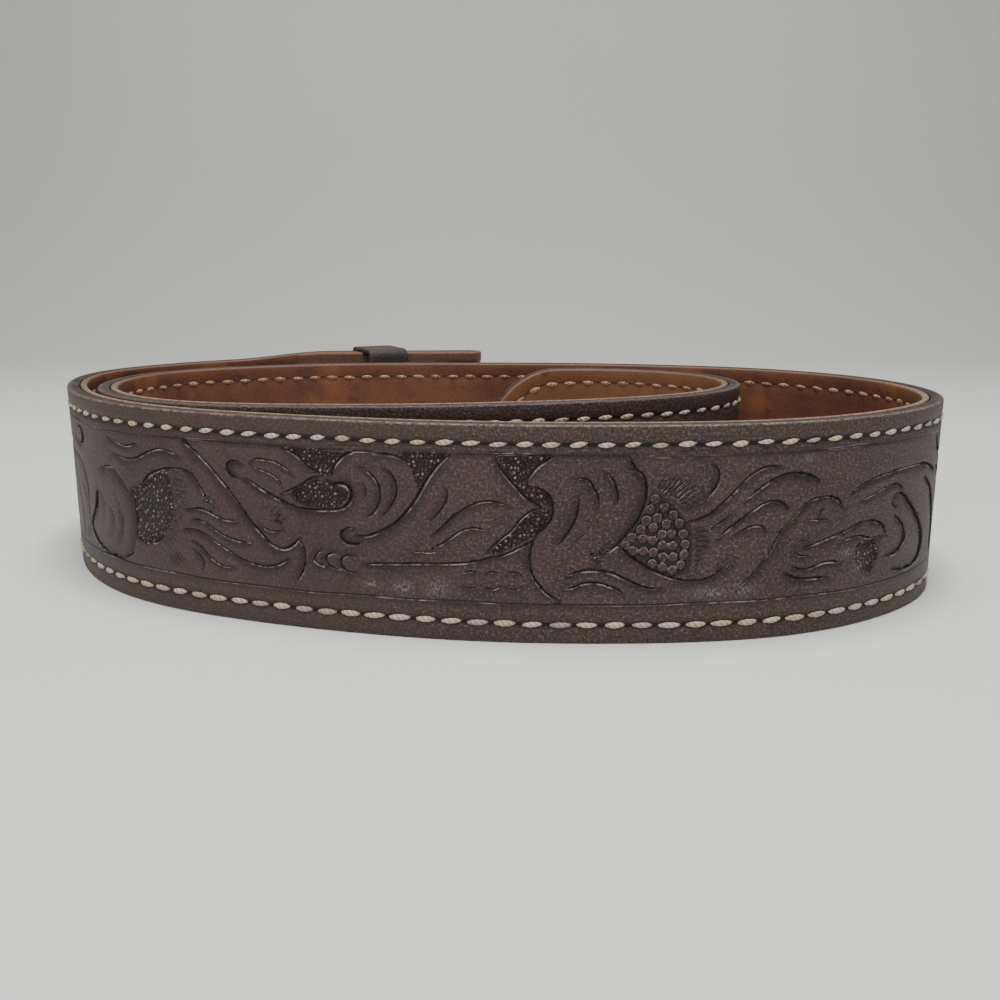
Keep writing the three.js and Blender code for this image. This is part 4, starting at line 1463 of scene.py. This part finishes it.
# Painted shade in the awl holes of the pricks.
inside.lay(prick * 0.6 * face, (44, 27, 20))
fibres = inside.noise(body_place, 3.0, 3.0)
edge_colour = inside.mix(fibres.step(0.35, 0.7), linear(78, 54, 38), linear(112, 82, 58))
jagged = inside.noise(body_place, 1.1, 4.0, 0.75).step(0.38, 0.56)
# Pale worn edge fibres, also a painted highlight on the front of the coil, where the lamps fall.
edge_colour = inside.mix(jagged * front * 0.6, edge_colour, linear(150, 130, 116))
inside.lay((1 - face).most(inside.field("rim")) * 0.88, edge_colour)
height = 0.05 * speck + 0.14 * creases - 0.2 * prick * face + 0.1 * inside.noise(place, 0.3, 2.0)
inside.relief(height)
dull = (0.5 + 0.2 * blotch).most((1 - face) * 0.95)
inside.set(Base_Color=inside.colour, Roughness=dull, IOR=1.45)
inside.cover(lining)

# %% [markdown]
# The keeper is a scrap of the outer leather with no tooling, dark and rubbed at its rims. Its inner
# walls are painted nearly black as the shade inside the loop.

# %% Keeper leather
loop_finish = Finish("keeper_leather")
place = loop_finish.object_mm()
patch = loop_finish.noise(place, 0.16, 3.0)
speck = loop_finish.noise(place, 2.0, 3.0, 0.7)
loop_finish.dye(patch.step(0.35, 0.65), (42, 31, 28), (56, 43, 38))
loop_finish.lay(speck.step(0.52, 0.7) * 0.4, (90, 75, 66))
worn = loop_finish.field("rim") * loop_finish.noise(place, 0.7, 3.0).step(0.4, 0.65)
loop_finish.lay(worn * 0.45, (88, 72, 60))
# Painted shade: the inside walls of the loop are darkened nearly to black.
loop_finish.lay(loop_finish.field("inner") * 0.85, (16, 11, 10))
grain = loop_finish.cells(place, 1.4, "DISTANCE_TO_EDGE").step(0.0, 0.12)
loop_finish.relief(0.08 * speck + 0.06 * grain)
loop_finish.set(Base_Color=loop_finish.colour, Roughness=0.5 + 0.15 * patch, IOR=1.47)
loop_finish.cover(keeper)

# %% [markdown]
# The studs are plain nickel, dulled by a thin grey film and fine scratches. One grey would look
# like plastic, so the film changes both the colour and the gloss of a metal.

# %% Stud metal
metal = Finish("stud_metal")
place = metal.object_mm()
film = metal.noise(place, 0.6, 4.0, 0.6)
scratches = metal.noise(metal.stretched(place, 6.0, 1.0, 0.5), 1.5, 2.0, 0.6)
metal.dye(film.step(0.4, 0.7), (176, 170, 160), (126, 118, 108))
metal.relief(0.02 * scratches + 0.03 * film)
metal.set(Base_Color=metal.colour, Metallic=1.0, Roughness=0.28 + 0.3 * film)
metal.cover(*studs)

# %% [markdown]
# The thread is thick waxed linen, once white. Every stitch has its own tint: most are cream, some
# have yellowed and some are grey with dirt. Its two plies show as slanting bands. They could be
# modelled, but at this size a sine across each stitch is enough. Inside, the thread is browner.

# %% Thread


def thread_finish(name, roughness, dirt_scale):
    """A waxed thread before it is dyed, with its tint, its plies and its dirt."""
    made = Finish(name)
    place = made.object_mm()
    plies = (made.field("twist") * 2.4).sine()
    made.relief(0.07 * plies + 0.05 * made.noise(place, 5.0, 2.0))
    made.set(Roughness=roughness, IOR=1.45)
    return made, made.field("tint"), plies, made.noise(place, dirt_scale, 3.0, 0.65)


thread, tint, plies, dirt = thread_finish("thread", 0.62, 1.4)
thread.dye(tint.step(0.6, 0.95), (209, 194, 172), (196, 180, 142))
thread.lay(tint.step(0.3, 0.08) * 0.8, (158, 146, 130))
thread.lay(dirt.step(0.5, 0.72) * 0.5, (132, 116, 96))
thread.lay(plies.step(-0.2, -0.9) * 0.5, (112, 97, 80))
thread.set(Base_Color=thread.colour)
thread.cover(stitches_outside)

worn_thread, tint, plies, dirt = thread_finish("thread_inside", 0.65, 1.2)
worn_thread.dye(tint.step(0.3, 0.8), (170, 130, 100), (146, 106, 78))
worn_thread.lay(dirt.step(0.45, 0.7) * 0.5, (104, 70, 48))
worn_thread.set(Base_Color=worn_thread.colour)
worn_thread.cover(stitches_inside)

# %% [markdown]
# The backdrop is matt paper: nearly flat, with a faint tooth and barely visible clouding. Where it
# bends up into the wall it is painted darker as shade.

# %% Backdrop paper
paper = Finish("backdrop_paper")
place = paper.node("ShaderNodeTexCoord").outputs["Object"]
cloud = paper.noise(place, 3.0, 3.0)
tooth = paper.noise(place, 900.0, 2.0)
paper.dye(cloud.step(0.3, 0.7), (204, 205, 200), (210, 211, 206))
# Painted shade on the paper where the floor bends up into the wall.
bend_shade = paper.along(place, "Y").step(0.12, 0.45) * paper.along(place, "Z").step(0.4, 0.08)
paper.lay(bend_shade * 0.7, (190, 190, 185))
paper.relief(0.05 * tooth)
paper.set(Base_Color=paper.colour, Roughness=0.9)
paper.cover(backdrop)

# %% [markdown]
